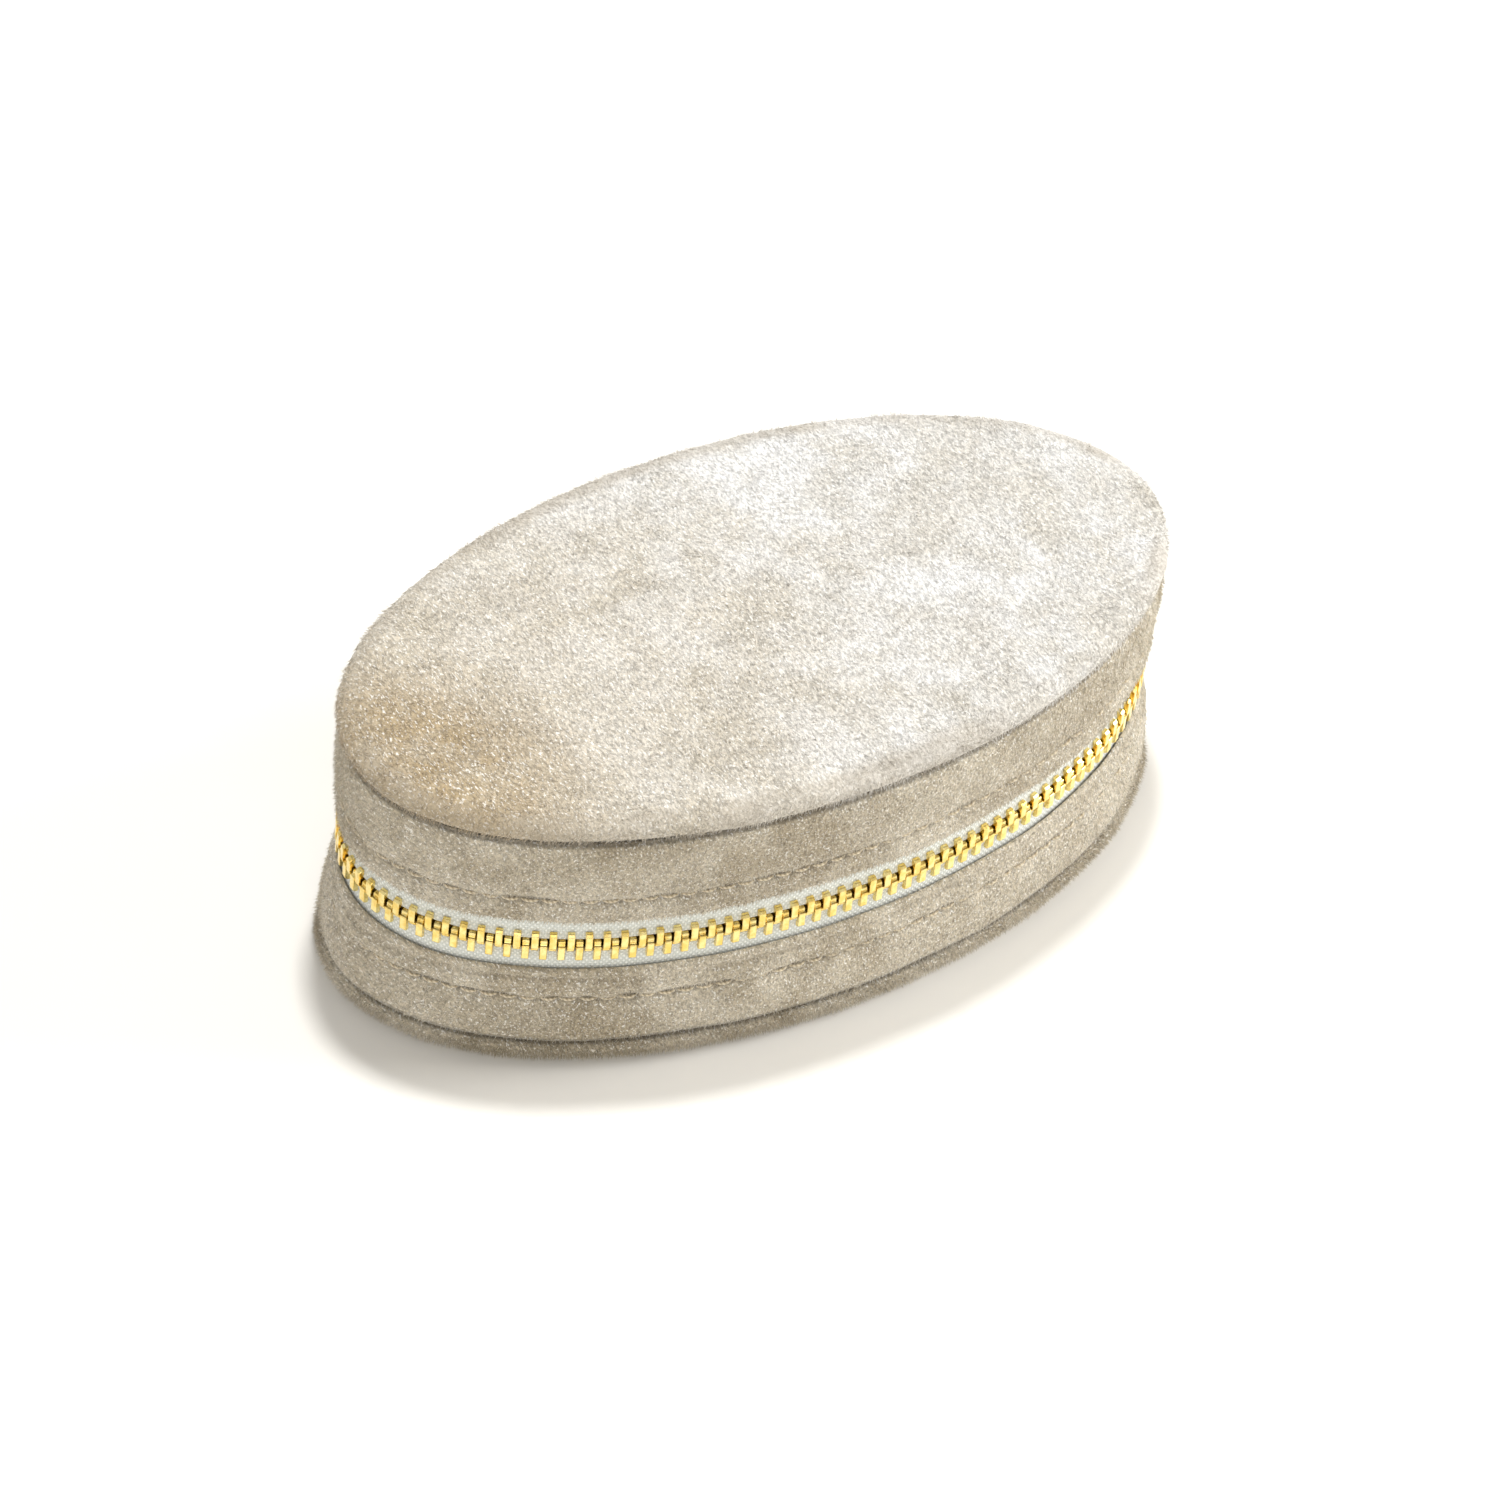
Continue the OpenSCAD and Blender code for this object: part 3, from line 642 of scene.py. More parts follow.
def makeBottomPanel():
    seam, out = case["bottomSeam"], case["flare"]
    rim = [(2.2 * mm, 0.02 * mm), (1.0 * mm, 0.08 * mm), (-out * 0.15, 0.6 * mm), (-out * 0.6, 1.4 * mm),
           (-out * 0.85, 2.4 * mm), (-out * 0.84, seam - 1.7 * mm), (-out * 0.45, seam - 1.15 * mm),
           (0.1 * mm, seam - 0.85 * mm), (1.15 * mm, seam - 0.6 * mm)]
    rimPath = smoothPath(rim, 40)
    grid = sweepRings(rimPath, around)
    ripple = noiseAt(grid, bottomPanel["rippleSize"], bottomPanel["seed"]) * bottomPanel["ripple"]
    z = grid[..., 2]
    fade = np.clip((z - 0.4 * mm) / (1.2 * mm), 0, 1) * np.clip((seam - z) / (1.0 * mm), 0, 1)
    grid = pushOut(grid, ripple * fade)
    first = grid[0]
    under = [first * np.array([share, share, 1]) for share in (0, 0.25, 0.5, 0.75, 0.9)]
    inside = sweepRings([(1.2 * mm, seam - 0.15 * mm), (1.2 * mm, 1.05 * mm)], around)
    centre = inside[-1] * np.array([0, 0, 1])
    grid = np.concatenate([np.array(under), grid, inside, centre[None]])
    pile = np.zeros(len(grid))
    # painted shade: the pile is nothing in the groove below the seam and where the rim turns in, where the side
    # velvet paints the colour darker; elsewhere on the rim it is 1.5, which only thickens the nap
    clear = np.clip((seam - 1.1 * mm - rimPath[:, 1]) / (0.5 * mm), 0, 1)
    pile[5:5 + len(rimPath)] = np.where(rimPath[:, 0] < 0.9 * mm, 1.5 * clear, 0)
    piece = surface("baseBottomPanel", grid, sideVelvet, True, False, (True, True), pile)
    handIn(piece, ["base_bottom_cover"], "base")
    return piece


bottomPiece = makeBottomPanel()
print("top and bottom panels made")


# repeated pieces, made with Geometry Nodes

def newTree(name, sockets):
    tree = bpy.data.node_groups.new(name, "GeometryNodeTree")
    tree.interface.new_socket("Geometry", in_out="INPUT", socket_type="NodeSocketGeometry")
    for socketName, kind in sockets:
        tree.interface.new_socket(socketName, in_out="INPUT", socket_type=kind)
    tree.interface.new_socket("Geometry", in_out="OUTPUT", socket_type="NodeSocketGeometry")
    return tree, tree.nodes.new("NodeGroupInput"), tree.nodes.new("NodeGroupOutput")


def runTree(name, start, tree, values, material):
    modifier = start.modifiers.new("nodes", "NODES")
    modifier.node_group = tree
    for item in tree.interface.items_tree:
        if item.in_out == "INPUT" and item.name in values:
            modifier[item.identifier] = values[item.name]
    modifier[[i.identifier for i in tree.interface.items_tree if i.name == "Finish"][0]] = material
    bpy.context.view_layer.update()
    ready = start.evaluated_get(bpy.context.evaluated_depsgraph_get())
    mesh = bpy.data.meshes.new_from_object(ready)
    start.modifiers.remove(modifier)
    return newObject(name, mesh)


def makeRowTree():
    tree, start, end = newTree("rowAlongTrack", [
        ("Shape", "NodeSocketObject"), ("Count", "NodeSocketInt"), ("Finish", "NodeSocketMaterial")])
    curve = addNode(tree, "GeometryNodeMeshToCurve", {0: start.outputs["Geometry"]})
    points = addNode(tree, "GeometryNodeCurveToPoints", {
        "Curve": curve.outputs[0], "Count": start.outputs["Count"]}, mode="COUNT")
    facing = addNode(tree, "FunctionNodeAlignRotationToVector", {"Vector": points.outputs["Tangent"]},
                     axis="Y", pivot_axis="Z")
    shape = addNode(tree, "GeometryNodeObjectInfo", {"Object": start.outputs["Shape"]})
    placed = addNode(tree, "GeometryNodeInstanceOnPoints", {
        "Points": points.outputs["Points"], "Instance": shape.outputs["Geometry"],
        "Rotation": facing.outputs[0]})
    real = addNode(tree, "GeometryNodeRealizeInstances", {0: placed.outputs[0]})
    finished = addNode(tree, "GeometryNodeSetMaterial", {
        "Geometry": real.outputs[0], "Material": start.outputs["Finish"]})
    tree.links.new(finished.outputs[0], end.inputs[0])
    return tree


rowTree = makeRowTree()


def lineObject(name, points):
    mesh = bpy.data.meshes.new(name)
    mesh.from_pydata([tuple(p) for p in points], [(k, k + 1) for k in range(len(points) - 1)], [])
    return newObject(name, mesh)


def rowAlong(name, points, count, shape, material, node, body):
    line = lineObject(name + "Line", points)
    piece = runTree(name, line, rowTree, {"Shape": shape, "Count": count}, material)
    bpy.data.objects.remove(line)
    handIn(piece, [node], body)


# a prism from an outline of (outwards, up), as thick as stated along the track, with its edges broken
def prismShape(name, outline, thickness, broken):
    bm = bmesh.new()
    low = [bm.verts.new((x, -thickness / 2, z)) for x, z in outline]
    face = bm.faces.new(low)
    pushed = bmesh.ops.extrude_face_region(bm, geom=[face])
    for vertex in (g for g in pushed["geom"] if isinstance(g, bmesh.types.BMVert)):
        vertex.co.y += thickness
    bmesh.ops.recalc_face_normals(bm, faces=bm.faces)
    sharp = [e for e in bm.edges if abs(e.calc_face_angle(0)) > 0.6]
    bmesh.ops.bevel(bm, geom=sharp, offset=broken, segments=1, affect="EDGES", clamp_overlap=True)
    return fromBmesh(name, bm)


zipChain = {"pitch": 2.79 * mm, "endAngle": math.radians(70.5), "firstTooth": 4.9 * mm, "endTeeth": 4,
            "tailRoom": 5 * mm, "depth": 1.4 * mm, "top": 2.92 * mm, "reach": 1.1 * mm, "faceEnd": 0.22 * mm,
            "headStep": 0.42 * mm, "width": 1.16 * mm, "legInside": 0.4 * mm, "broken": 0.08 * mm}
trackSweep = -(full - 2 * (math.pi / 2 - zipChain["endAngle"]))
trackLengths, trackAngles = arcTable(zipChain["endAngle"], trackSweep, case["tapeInset"])


def trackLine(start, end, count=900):
    stops = np.linspace(end, start, count)
    angles = np.interp(stops, trackLengths, trackAngles)
    x = (case["halfLength"] - case["tapeInset"]) * np.cos(angles)
    y = (case["halfWidth"] - case["tapeInset"]) * np.sin(angles)
    return np.stack([x, y, np.full(count, case["zipZ"])], -1)


def toothOutline(side):
    d, t, r, g, f = (zipChain[k] for k in ("depth", "top", "reach", "legInside", "faceEnd"))
    head = d - zipChain["headStep"]
    outer = [(g, t), (d - 0.42 * mm, t - 0.05 * mm), (d, t - 0.45 * mm), (d, -f + 0.1 * mm), (d - 0.1 * mm, -f),
             (head, -f - 0.12 * mm), (head, -r + 0.2 * mm), (head - 0.2 * mm, -r)]
    points = outer + [(-x, z) for x, z in outer[::-1]] + [(-g, 0.9 * mm), (g, 0.9 * mm)]
    return [(x, side * z) for x, z in points]


def makeTeeth():
    pitch, first = zipChain["pitch"], zipChain["firstTooth"]
    count = int((trackLengths[-1] - zipChain["tailRoom"] - first) / pitch)
    for side, half, name in ((1, 0, "upper"), (-1, 0.5, "lower")):
        shape = prismShape("toothShape", toothOutline(side), zipChain["width"], zipChain["broken"])
        start = first + half * pitch
        if side > 0:
            stretches = [("zipTeethEnd", 0, zipChain["endTeeth"] - 1, "zip_teeth_end", "base"),
                         ("zipTeethUpper", zipChain["endTeeth"], count - 1, "zip_teeth_upper", "lid")]
        else:
            stretches = [("zipTeethLower", 0, count - 1, "zip_teeth_lower", "base")]
        for pieceName, low, high, node, body in stretches:
            line = trackLine(start + low * pitch, start + high * pitch)
            rowAlong(pieceName, line, high - low + 1, shape, toothGold, node, body)
        bpy.data.objects.remove(shape)


makeTeeth()
print("zip teeth made")


stitching = {"length": 2.75 * mm, "pitch": 3.15 * mm, "radius": 0.25 * mm, "bow": 0.2 * mm, "sides": 6,
             "lidOut": -0.5 * mm, "baseOut": -0.46 * mm}


# one stitch, bowed outwards between its two needle holes
def stitchShape():
    bm = bmesh.new()
    rings = []
    for t in (-1, -0.8, -0.4, 0, 0.4, 0.8, 1):
        radius = stitching["radius"] * (1 - 0.55 * abs(t) ** 4)
        centre = Vector((stitching["bow"] * (1 - 2.2 * t * t), t * stitching["length"] / 2, 0))
        rings.append([bm.verts.new(centre + Vector((radius * math.cos(a), 0, radius * math.sin(a))))
                      for a in np.linspace(0, full, stitching["sides"], endpoint=False)])
    for one, two in zip(rings, rings[1:]):
        for k in range(stitching["sides"]):
            n = (k + 1) % stitching["sides"]
            bm.faces.new((one[k], one[n], two[n], two[k]))
    bm.faces.new(rings[0][::-1])
    bm.faces.new(rings[-1])
    bmesh.ops.recalc_face_normals(bm, faces=bm.faces)
    shape = fromBmesh("stitchShape", bm)
    shape.data.shade_smooth()
    return shape


def makeStitches():
    shape = stitchShape()
    for name, z, out, node, body in (
            ("lidStitches", case["lidStitch"], stitching["lidOut"], "lid_stitching", "lid"),
            ("baseStitches", case["baseStitch"], stitching["baseOut"] + 0.85 * flareAt(case["baseStitch"]),
             "base_stitching", "base")):
        lengths, angles = arcTable(0, full, -out)
        count = int(lengths[-1] / stitching["pitch"])
        stops = np.interp(np.linspace(0, lengths[-1] * (1 - 1 / count), 1200), lengths, angles)
        line = np.stack([(case["halfLength"] + out) * np.cos(stops), (case["halfWidth"] + out) * np.sin(stops),
                         np.full(1200, z + 0.17 * mm)], -1)
        rowAlong(name, line, count, shape, threadCloth, node, body)
    bpy.data.objects.remove(shape)


makeStitches()
print("stitches made")


# the nap itself: short tapered bristles that lean with the crushed cloth, thickest at folds and edges

def makePileTree():
    tree, start, end = newTree("velvetNap", [
        ("Density", "NodeSocketFloat"), ("Length", "NodeSocketFloat"), ("Thickness", "NodeSocketFloat"),
        ("Nap", "NodeSocketVector"), ("Stand", "NodeSocketFloat"), ("Stray", "NodeSocketFloat"),
        ("Seed", "NodeSocketInt"), ("Finish", "NodeSocketMaterial")])
    share = addNode(tree, "GeometryNodeInputNamedAttribute", {"Name": "pile"}, data_type="FLOAT")
    density = addNode(tree, "ShaderNodeMath", {0: share.outputs[0], 1: start.outputs["Density"]},
                      operation="MULTIPLY")
    points = addNode(tree, "GeometryNodeDistributePointsOnFaces", {
        "Mesh": start.outputs["Geometry"], "Density": density.outputs[0], "Seed": start.outputs["Seed"]},
        distribute_method="RANDOM")
    sway = addNode(tree, "ShaderNodeTexNoise", {"Scale": 1 / (9 * mm), "Detail": 2.0})
    centred = addNode(tree, "ShaderNodeVectorMath", {0: sway.outputs["Color"], 1: (0.5, 0.5, 0.5)},
                      operation="SUBTRACT")
    wave = addNode(tree, "ShaderNodeVectorMath", {0: centred.outputs[0], "Scale": start.outputs["Stray"]},
                   operation="SCALE")
    loose = addNode(tree, "FunctionNodeRandomValue", {0: (-0.35, -0.35, -0.35), 1: (0.35, 0.35, 0.35)},
                    data_type="FLOAT_VECTOR")
    stand = addNode(tree, "ShaderNodeVectorMath", {
        0: points.outputs["Normal"], "Scale": start.outputs["Stand"]},
                    operation="SCALE")
    lean = stand.outputs[0]
    for term in (start.outputs["Nap"], wave.outputs[0], loose.outputs[0]):
        lean = addNode(tree, "ShaderNodeVectorMath", {0: lean, 1: term}, operation="ADD").outputs[0]
    facing = addNode(tree, "FunctionNodeAlignRotationToVector", {"Vector": lean}, axis="Z")
    bristle = addNode(tree, "GeometryNodeMeshCone", {
        "Vertices": 3, "Radius Top": 0.0, "Radius Bottom": start.outputs["Thickness"],
        "Depth": start.outputs["Length"]}, fill_type="NGON")
    size = addNode(tree, "FunctionNodeRandomValue", {2: 0.55, 3: 1.15}, data_type="FLOAT")
    placed = addNode(tree, "GeometryNodeInstanceOnPoints", {
        "Points": points.outputs["Points"], "Instance": bristle.outputs[0], "Rotation": facing.outputs[0],
        "Scale": size.outputs[1]})
    real = addNode(tree, "GeometryNodeRealizeInstances", {0: placed.outputs[0]})
    finished = addNode(tree, "GeometryNodeSetMaterial", {
        "Geometry": real.outputs[0], "Material": start.outputs["Finish"]})
    tree.links.new(finished.outputs[0], end.inputs[0])
    return tree


napTree = makePileTree()
nap = {
    "lidTopNap": (topPiece, "lid", topPilePaintedLight, {
        "Density": 4.2e6, "Length": 1.0 * mm, "Thickness": 0.075 * mm, "Nap": (-0.5, -0.3, 0.0),
        "Stand": 0.42, "Stray": 2.6, "Seed": 3}),
    "lidBandNap": (lidBand, "lid", sidePile, {
        "Density": 6.0e6, "Length": 0.85 * mm, "Thickness": 0.07 * mm, "Nap": (-0.3, 0.0, -0.55),
        "Stand": 0.4, "Stray": 1.6, "Seed": 5}),
    "baseBandNap": (baseBand, "base", sidePile, {
        "Density": 5.6e6, "Length": 0.85 * mm, "Thickness": 0.07 * mm, "Nap": (-0.3, 0.0, -0.55),
        "Stand": 0.4, "Stray": 1.6, "Seed": 7}),
    "baseRimNap": (bottomPiece, "base", sidePile, {
        "Density": 10.0e6, "Length": 1.15 * mm, "Thickness": 0.075 * mm, "Nap": (-0.2, -0.1, -0.1),
        "Stand": 0.8, "Stray": 1.8, "Seed": 9}),
}


def makeNap():
    for name, (ground, body, material, look) in nap.items():
        piece = runTree(name, ground, napTree, look, material)
        heights = np.zeros(len(piece.data.vertices) * 3)
        piece.data.vertices.foreach_get("co", heights)
        heights[2::3] = np.maximum(heights[2::3], 0.02 * mm)
        piece.data.vertices.foreach_set("co", heights)
        handIn(piece, body=body)
        print(name, "has", len(piece.data.polygons) // 4, "bristles")


makeNap()
print("nap made")


# zip tapes, thin and woven, with a corded edge that the teeth grip

tape = {"half": 0.3 * mm, "bead": 0.6 * mm, "beadAt": 1.62 * mm, "hem": 11 * mm, "steps": 620}


def tapePath(side):
    z, inset = case["zipZ"], case["tapeInset"]
    b, h, at = tape["bead"], tape["half"], tape["beadAt"]
    points = [(inset + h, z + side * tape["hem"]), (inset + h, z + side * (at + 2.6 * mm)),
              (inset + h, z + side * (at + 1.0 * mm)), (inset + b, z + side * at),
              (inset, z + side * (at - b)), (inset - b, z + side * at), (inset - h, z + side * (at + 1.0 * mm)),
              (inset - h - 0.08 * mm, z + side * (at + 2.6 * mm)), (inset - h, z + side * tape["hem"])]
    return points if side > 0 else points[::-1]


def makeTape(name, side, start, end, node, body):
    path = smoothPath(tapePath(side), 44)
    count = max(24, int(tape["steps"] * (end - start) / trackLengths[-1]))
    stops = np.interp(np.linspace(end, start, count), trackLengths, trackAngles)
    grid = sweepRings(path, stops)
    grid = grid + gridNormals(grid, False) * (noiseAt(grid, 9 * mm, 4.0) * 0.1 * mm)[..., None]
    piece = surface(name, grid, tapeCloth, False, True)
    handIn(piece, [node], body)
    if not body:
        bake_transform(piece)


lidZipStart = zipChain["firstTooth"] + (zipChain["endTeeth"] - 0.5) * zipChain["pitch"]
makeTape("zipTapeUpper", 1, lidZipStart, trackLengths[-1] - 0.5 * mm, "zip_tape_upper", "lid")
makeTape("zipTapeLower", -1, 0, trackLengths[-1], "zip_tape_lower", "base")
makeTape("zipTapeEnd", 1, 0, lidZipStart - 0.12 * mm, "zip_tape_end", None)
print("zip tapes made")


# fabric hinge behind: a velvet gusset outside and a suede strip inside

hinge = {"from": math.radians(69.7), "out": 0.55 * mm, "thick": 0.5 * mm, "tuck": 6.5 * mm, "turn": 2.7 * mm,
         "liningFrom": math.radians(70.9), "liningThick": 0.4 * mm, "wrinkle": 0.14 * mm, "columns": 150}


def makeHingeStrip(name, outer, thick, start, wrinkle, material, node):
    line = smoothPath(outer, 46)
    path = np.concatenate([line, (line + np.array([thick, 0]))[::-1]])
    angles = np.linspace(start, math.pi - start, hinge["columns"])
    grid = sweepRings(path, angles)
    folds = np.sin((grid[..., 2] - case["zipZ"]) / (1.15 * mm)) * wrinkle
    fade = np.exp(-((grid[..., 2] - case["zipZ"]) / (4.2 * mm)) ** 4)
    soft = noiseAt(grid * np.array([0.35, 0.35, 1]), 3 * mm, 8.0) * wrinkle * 1.6
    out = grid * np.array([1, 1, 0])
    out = out / np.linalg.norm(out, axis=-1, keepdims=True)
    grid = grid + out * ((folds + soft) * fade)[..., None]
    piece = surface(name, grid, material, False, True, pile=np.ones(len(path)))
    handIn(piece, [node])
    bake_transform(piece)


def makeHinge():
    low, high, z, out = case["baseFold"], case["lidFold"], case["zipZ"], hinge["out"]
    outer = [(1.5 * mm, low - hinge["tuck"]), (1.42 * mm, low - 2.5 * mm), (1.32 * mm, low - 0.6 * mm),
             (out + 0.25 * mm, low + 1.8 * mm), (out, z), (out + 0.25 * mm, high - 1.8 * mm),
             (1.32 * mm, high + 0.6 * mm), (1.42 * mm, high + 2.5 * mm), (1.5 * mm, high + hinge["tuck"])]
    makeHingeStrip("hingeGusset", outer, hinge["thick"], hinge["from"], hinge["wrinkle"], sideVelvet,
                   "hinge_panel")
    wallTop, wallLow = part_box("base_side_board")[1].z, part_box("lid_side_board")[0].z
    inner = [(2.5 * mm, wallTop + 0.1 * mm), (2.42 * mm, wallTop + 1.6 * mm), (2.35 * mm, z),
             (2.42 * mm, wallLow - 1.6 * mm), (2.5 * mm, wallLow - 0.1 * mm)]
    makeHingeStrip("hingeLining", inner, hinge["liningThick"], hinge["liningFrom"], hinge["wrinkle"] * 0.5,
                   suede, "hinge_lining")


makeHinge()
print("fabric hinge made")


# cloth that is blown up over its padding by simulation; each piece gives its mesh, pins and most travel
puffed = []


def puff(piece, pressure, travel, held=None):
    if held:
        group = piece.vertex_groups.new(name="held")
        group.add(held, 1.0, "REPLACE")
    puffed.append({"piece": piece, "pressure": pressure, "travel": travel, "held": bool(held)})


def runPuffing(frames=16):
    for item in puffed:
        cloth = item["piece"].modifiers.new("cloth", "CLOTH")
        cloth.settings.quality = 5
        cloth.settings.mass = 0.05
        cloth.settings.tension_stiffness = cloth.settings.compression_stiffness = 12
        cloth.settings.bending_stiffness = 0.4
        cloth.settings.use_pressure = True
        cloth.settings.uniform_pressure_force = item["pressure"]
        cloth.settings.effector_weights.gravity = 0
        cloth.collision_settings.use_collision = False
        if item["held"]:
            cloth.settings.vertex_group_mass = "held"
        cloth.point_cache.frame_start, cloth.point_cache.frame_end = 1, frames
    for frameNumber in range(1, frames + 1):
        scene.frame_set(frameNumber)
    graph = bpy.context.evaluated_depsgraph_get()
    for item in puffed:
        mesh = item["piece"].data
        count = len(mesh.vertices)
        before, after = np.zeros(count * 3), np.zeros(count * 3)
        mesh.vertices.foreach_get("co", before)
        item["piece"].evaluated_get(graph).data.vertices.foreach_get("co", after)
        move = (after - before).reshape(-1, 3)
        size = np.linalg.norm(move, axis=1, keepdims=True)
        move *= np.minimum(1, item["travel"] / np.maximum(size, 1e-9))
        item["after"] = (before.reshape(-1, 3) + move).ravel()
        print(item["piece"].name, "puffed by up to", round(float(size.max()) / mm, 2), "mm")
    for item in puffed:
        item["piece"].modifiers.clear()
        item["piece"].vertex_groups.clear()
        item["piece"].data.vertices.foreach_set("co", item["after"])
        item["piece"].data.update()
    scene.frame_set(1)


# linings, pads and mirror inside

inside = {"wall": 4.6 * mm, "turnOver": 0.42 * mm, "ripple": 0.12 * mm, "columns": 480}
inner = evenAngles(inside["wall"], inside["columns"])


# a lining glued to the wall and turned over the top of its board; up is 1 in the base and -1 in the lid
def makeWallLining(name, foot, brim, up, node, body):
    wall, over = inside["wall"], inside["turnOver"]
    points = [(2.12 * mm, brim + up * 0.05 * mm), (2.25 * mm, brim + up * over * 0.8),
              (2.9 * mm, brim + up * over), (3.7 * mm, brim + up * over), (4.4 * mm, brim + up * over * 0.5),
              (wall + 0.05 * mm, brim - up * 0.6 * mm), (wall, brim - up * 2.0 * mm),
              (wall, (foot + brim) / 2), (wall, foot + up * 0.6 * mm), (wall, foot)]
    shown = smoothPath(points, 52)
    back = [(3.66 * mm, foot), (3.64 * mm, brim - up * 0.3 * mm), (3.4 * mm, brim + up * 0.04 * mm)]
    grid = sweepRings(np.concatenate([shown, back]), inner)
    ripple = noiseAt(grid * np.array([1, 1, 0.5]), 7 * mm, 15.0 + up) * inside["ripple"]
    ripple[-3:] = 0
    ripple[:12] = 0
    grid = pushOut(grid, np.minimum(ripple, 0.05 * mm) * (1 if up > 0 else -1))
    piece = surface(name, grid, suede, True, True)
    handIn(piece, [node], body)


# a flat oval pad with rounded edges
def makeOvalPad(name, rim, centreZ, backZ, ripple, node, body):
    rimPath = smoothPath(rim, 26)
    edge = sweepRings(rimPath, inner)
    shares = 1 - np.linspace(0, 1, 30)[1:]
    face = [edge[-1] * np.array([t, t, 1]) + np.array([0, 0, (centreZ - rimPath[-1][1]) * (1 - t * t)])
            for t in shares]
    back = edge[0] * np.array([0, 0, 1])
    back[:, 2] = backZ
    grid = np.concatenate([back[None], edge, np.array(face)])
    waves = noiseAt(grid, 12 * mm, 21.0) * ripple
    waves[:3] = 0
    waves[-1] = 0
    grid[..., 2] += waves
    piece = surface(name, grid, suede, True, False, (True, True))
    handIn(piece, [node], body)


def makeLinings():
    boardLow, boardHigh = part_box("base_side_board")
    makeWallLining("baseWallLining", boardLow.z + 2.4 * mm, boardHigh.z, 1, "base_side_lining", "base")
    boardLow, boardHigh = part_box("lid_side_board")
    makeWallLining("lidWallLining", boardHigh.z - 0.3 * mm, boardLow.z, -1, "lid_side_lining", "lid")
    low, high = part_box("base_floor_lining")
    rim = [(5.2 * mm, low.z + 0.02 * mm), (4.75 * mm, low.z + 0.35 * mm), (4.95 * mm, high.z - 0.3 * mm),
           (5.8 * mm, high.z - 0.04 * mm), (8 * mm, high.z)]
    makeOvalPad("baseFloorPad", rim, high.z - 0.05 * mm, low.z + 0.02 * mm, 0.1 * mm,
                "base_floor_lining", "base")


makeLinings()
print("linings made")


mirror = {"bevel": 2.2 * mm, "bevelRise": 0.3 * mm, "columns": 256, "crisp": 0.03 * mm}


# bevelled glass, its silvered face looking down when the lid is closed
def makeMirrorGlass():
    inset, low, high = case["halfLength"] - mirrorHigh.x, mirrorLow.z, mirrorHigh.z
    crisp = mirror["crisp"]
    path = [(inset, high - crisp), (inset, low + mirror["bevelRise"] + crisp),
            (inset + crisp, low + mirror["bevelRise"]), (inset + mirror["bevel"] - crisp, low + crisp),
            (inset + mirror["bevel"] + crisp, low)]
    angles = evenAngles(inset, mirror["columns"])
    grid = sweepRings([(inset + crisp, high)] + path, angles)
    face = [grid[-1] * np.array([t, t, 1]) for t in (0.98, 0.6, 0)]
    back = [grid[0] * np.array([t, t, 1]) for t in (0, 0.98)]
    grid = np.concatenate([np.array(back), grid, np.array(face)])
    piece = surface("mirrorGlass", grid, silveredGlass, True, False, (True, True))
    handIn(piece, ["lid_mirror"], "lid")


frameLook = {"swell": 0.5 * mm, "columns": 300, "rows": 40}


# padded frame that hides the mirror's edge
def makeMirrorFrame():
    low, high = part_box("lid_lining_panel")
    outside, edge = 4.75 * mm, case["halfLength"] - mirrorHigh.x + 0.6 * mm
    down = low.z + 0.25 * mm
    points = [(outside, high.z), (outside - 0.02 * mm, down + 0.7 * mm), (outside + 0.7 * mm, down),
              (outside + 3 * mm, down - 0.1 * mm), (edge - 3 * mm, down - 0.1 * mm),
              (edge - 0.7 * mm, low.z - 0.2 * mm),
              (edge, mirrorLow.z - 0.3 * mm), (edge - 0.15 * mm, mirrorLow.z - 0.08 * mm),
              (edge - 0.75 * mm, mirrorLow.z - 0.06 * mm), (edge - 0.8 * mm, high.z)]
    path = smoothPath(points, frameLook["rows"])
    angles = evenAngles(10 * mm, frameLook["columns"])
    grid = sweepRings(path, angles)
    waves = noiseAt(grid, 8 * mm, 31.0) * 0.12 * mm
    grid[..., 2] += waves * (path[:, 1] < high.z - 1.0 * mm)[:, None]
    piece = surface("mirrorFrame", grid, suede, True, True)
    middle = range(int(frameLook["rows"] * 0.18), int(frameLook["rows"] * 0.62))
    held = [j * frameLook["columns"] + i for j in range(len(path)) if j not in middle
            for i in range(frameLook["columns"])]
    puff(piece, 9.0, frameLook["swell"], held)
    handIn(piece, ["lid_lining_panel"], "lid")


makeMirrorGlass()
makeMirrorFrame()
print("mirror and its frame made")


divider = {"wave": 0.14 * mm, "columns": 72, "topRound": 0.9 * mm}


# board wrapped in suede, its top edge rounded by the cloth
def makeDivider(name, node):
    low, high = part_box(node)
    lengthways = high.y - low.y > high.x - low.x
    half = min(high.x - low.x, high.y - low.y) / 2
    r = divider["topRound"]
    section = [(-half, low.z), (-half, (low.z + high.z) / 2), (-half, high.z - r),
               (-half * 0.75, high.z - r * 0.35),
               (0, high.z), (half * 0.75, high.z - r * 0.35), (half, high.z - r), (half, (low.z + high.z) / 2),
               (half, low.z)]
    path = smoothPath(section, 40)
    middle = (low + high) / 2
    run = np.linspace(low.y, high.y, divider["columns"]) if lengthways else np.linspace(
        low.x, high.x, divider["columns"])
    grid = np.zeros((len(path), len(run), 3))
    for j, (offset, z) in enumerate(path):
        grid[j, :, 0] = middle.x + offset if lengthways else run
        grid[j, :, 1] = run if lengthways else middle.y + offset
        grid[j, :, 2] = z
    wave = noiseAt(grid, 6 * mm, 41.0) * divider["wave"]
    grid[..., 0 if lengthways else 1] += wave
    piece = surface(name, grid, suede, False, True)
    handIn(piece, [node], "base")


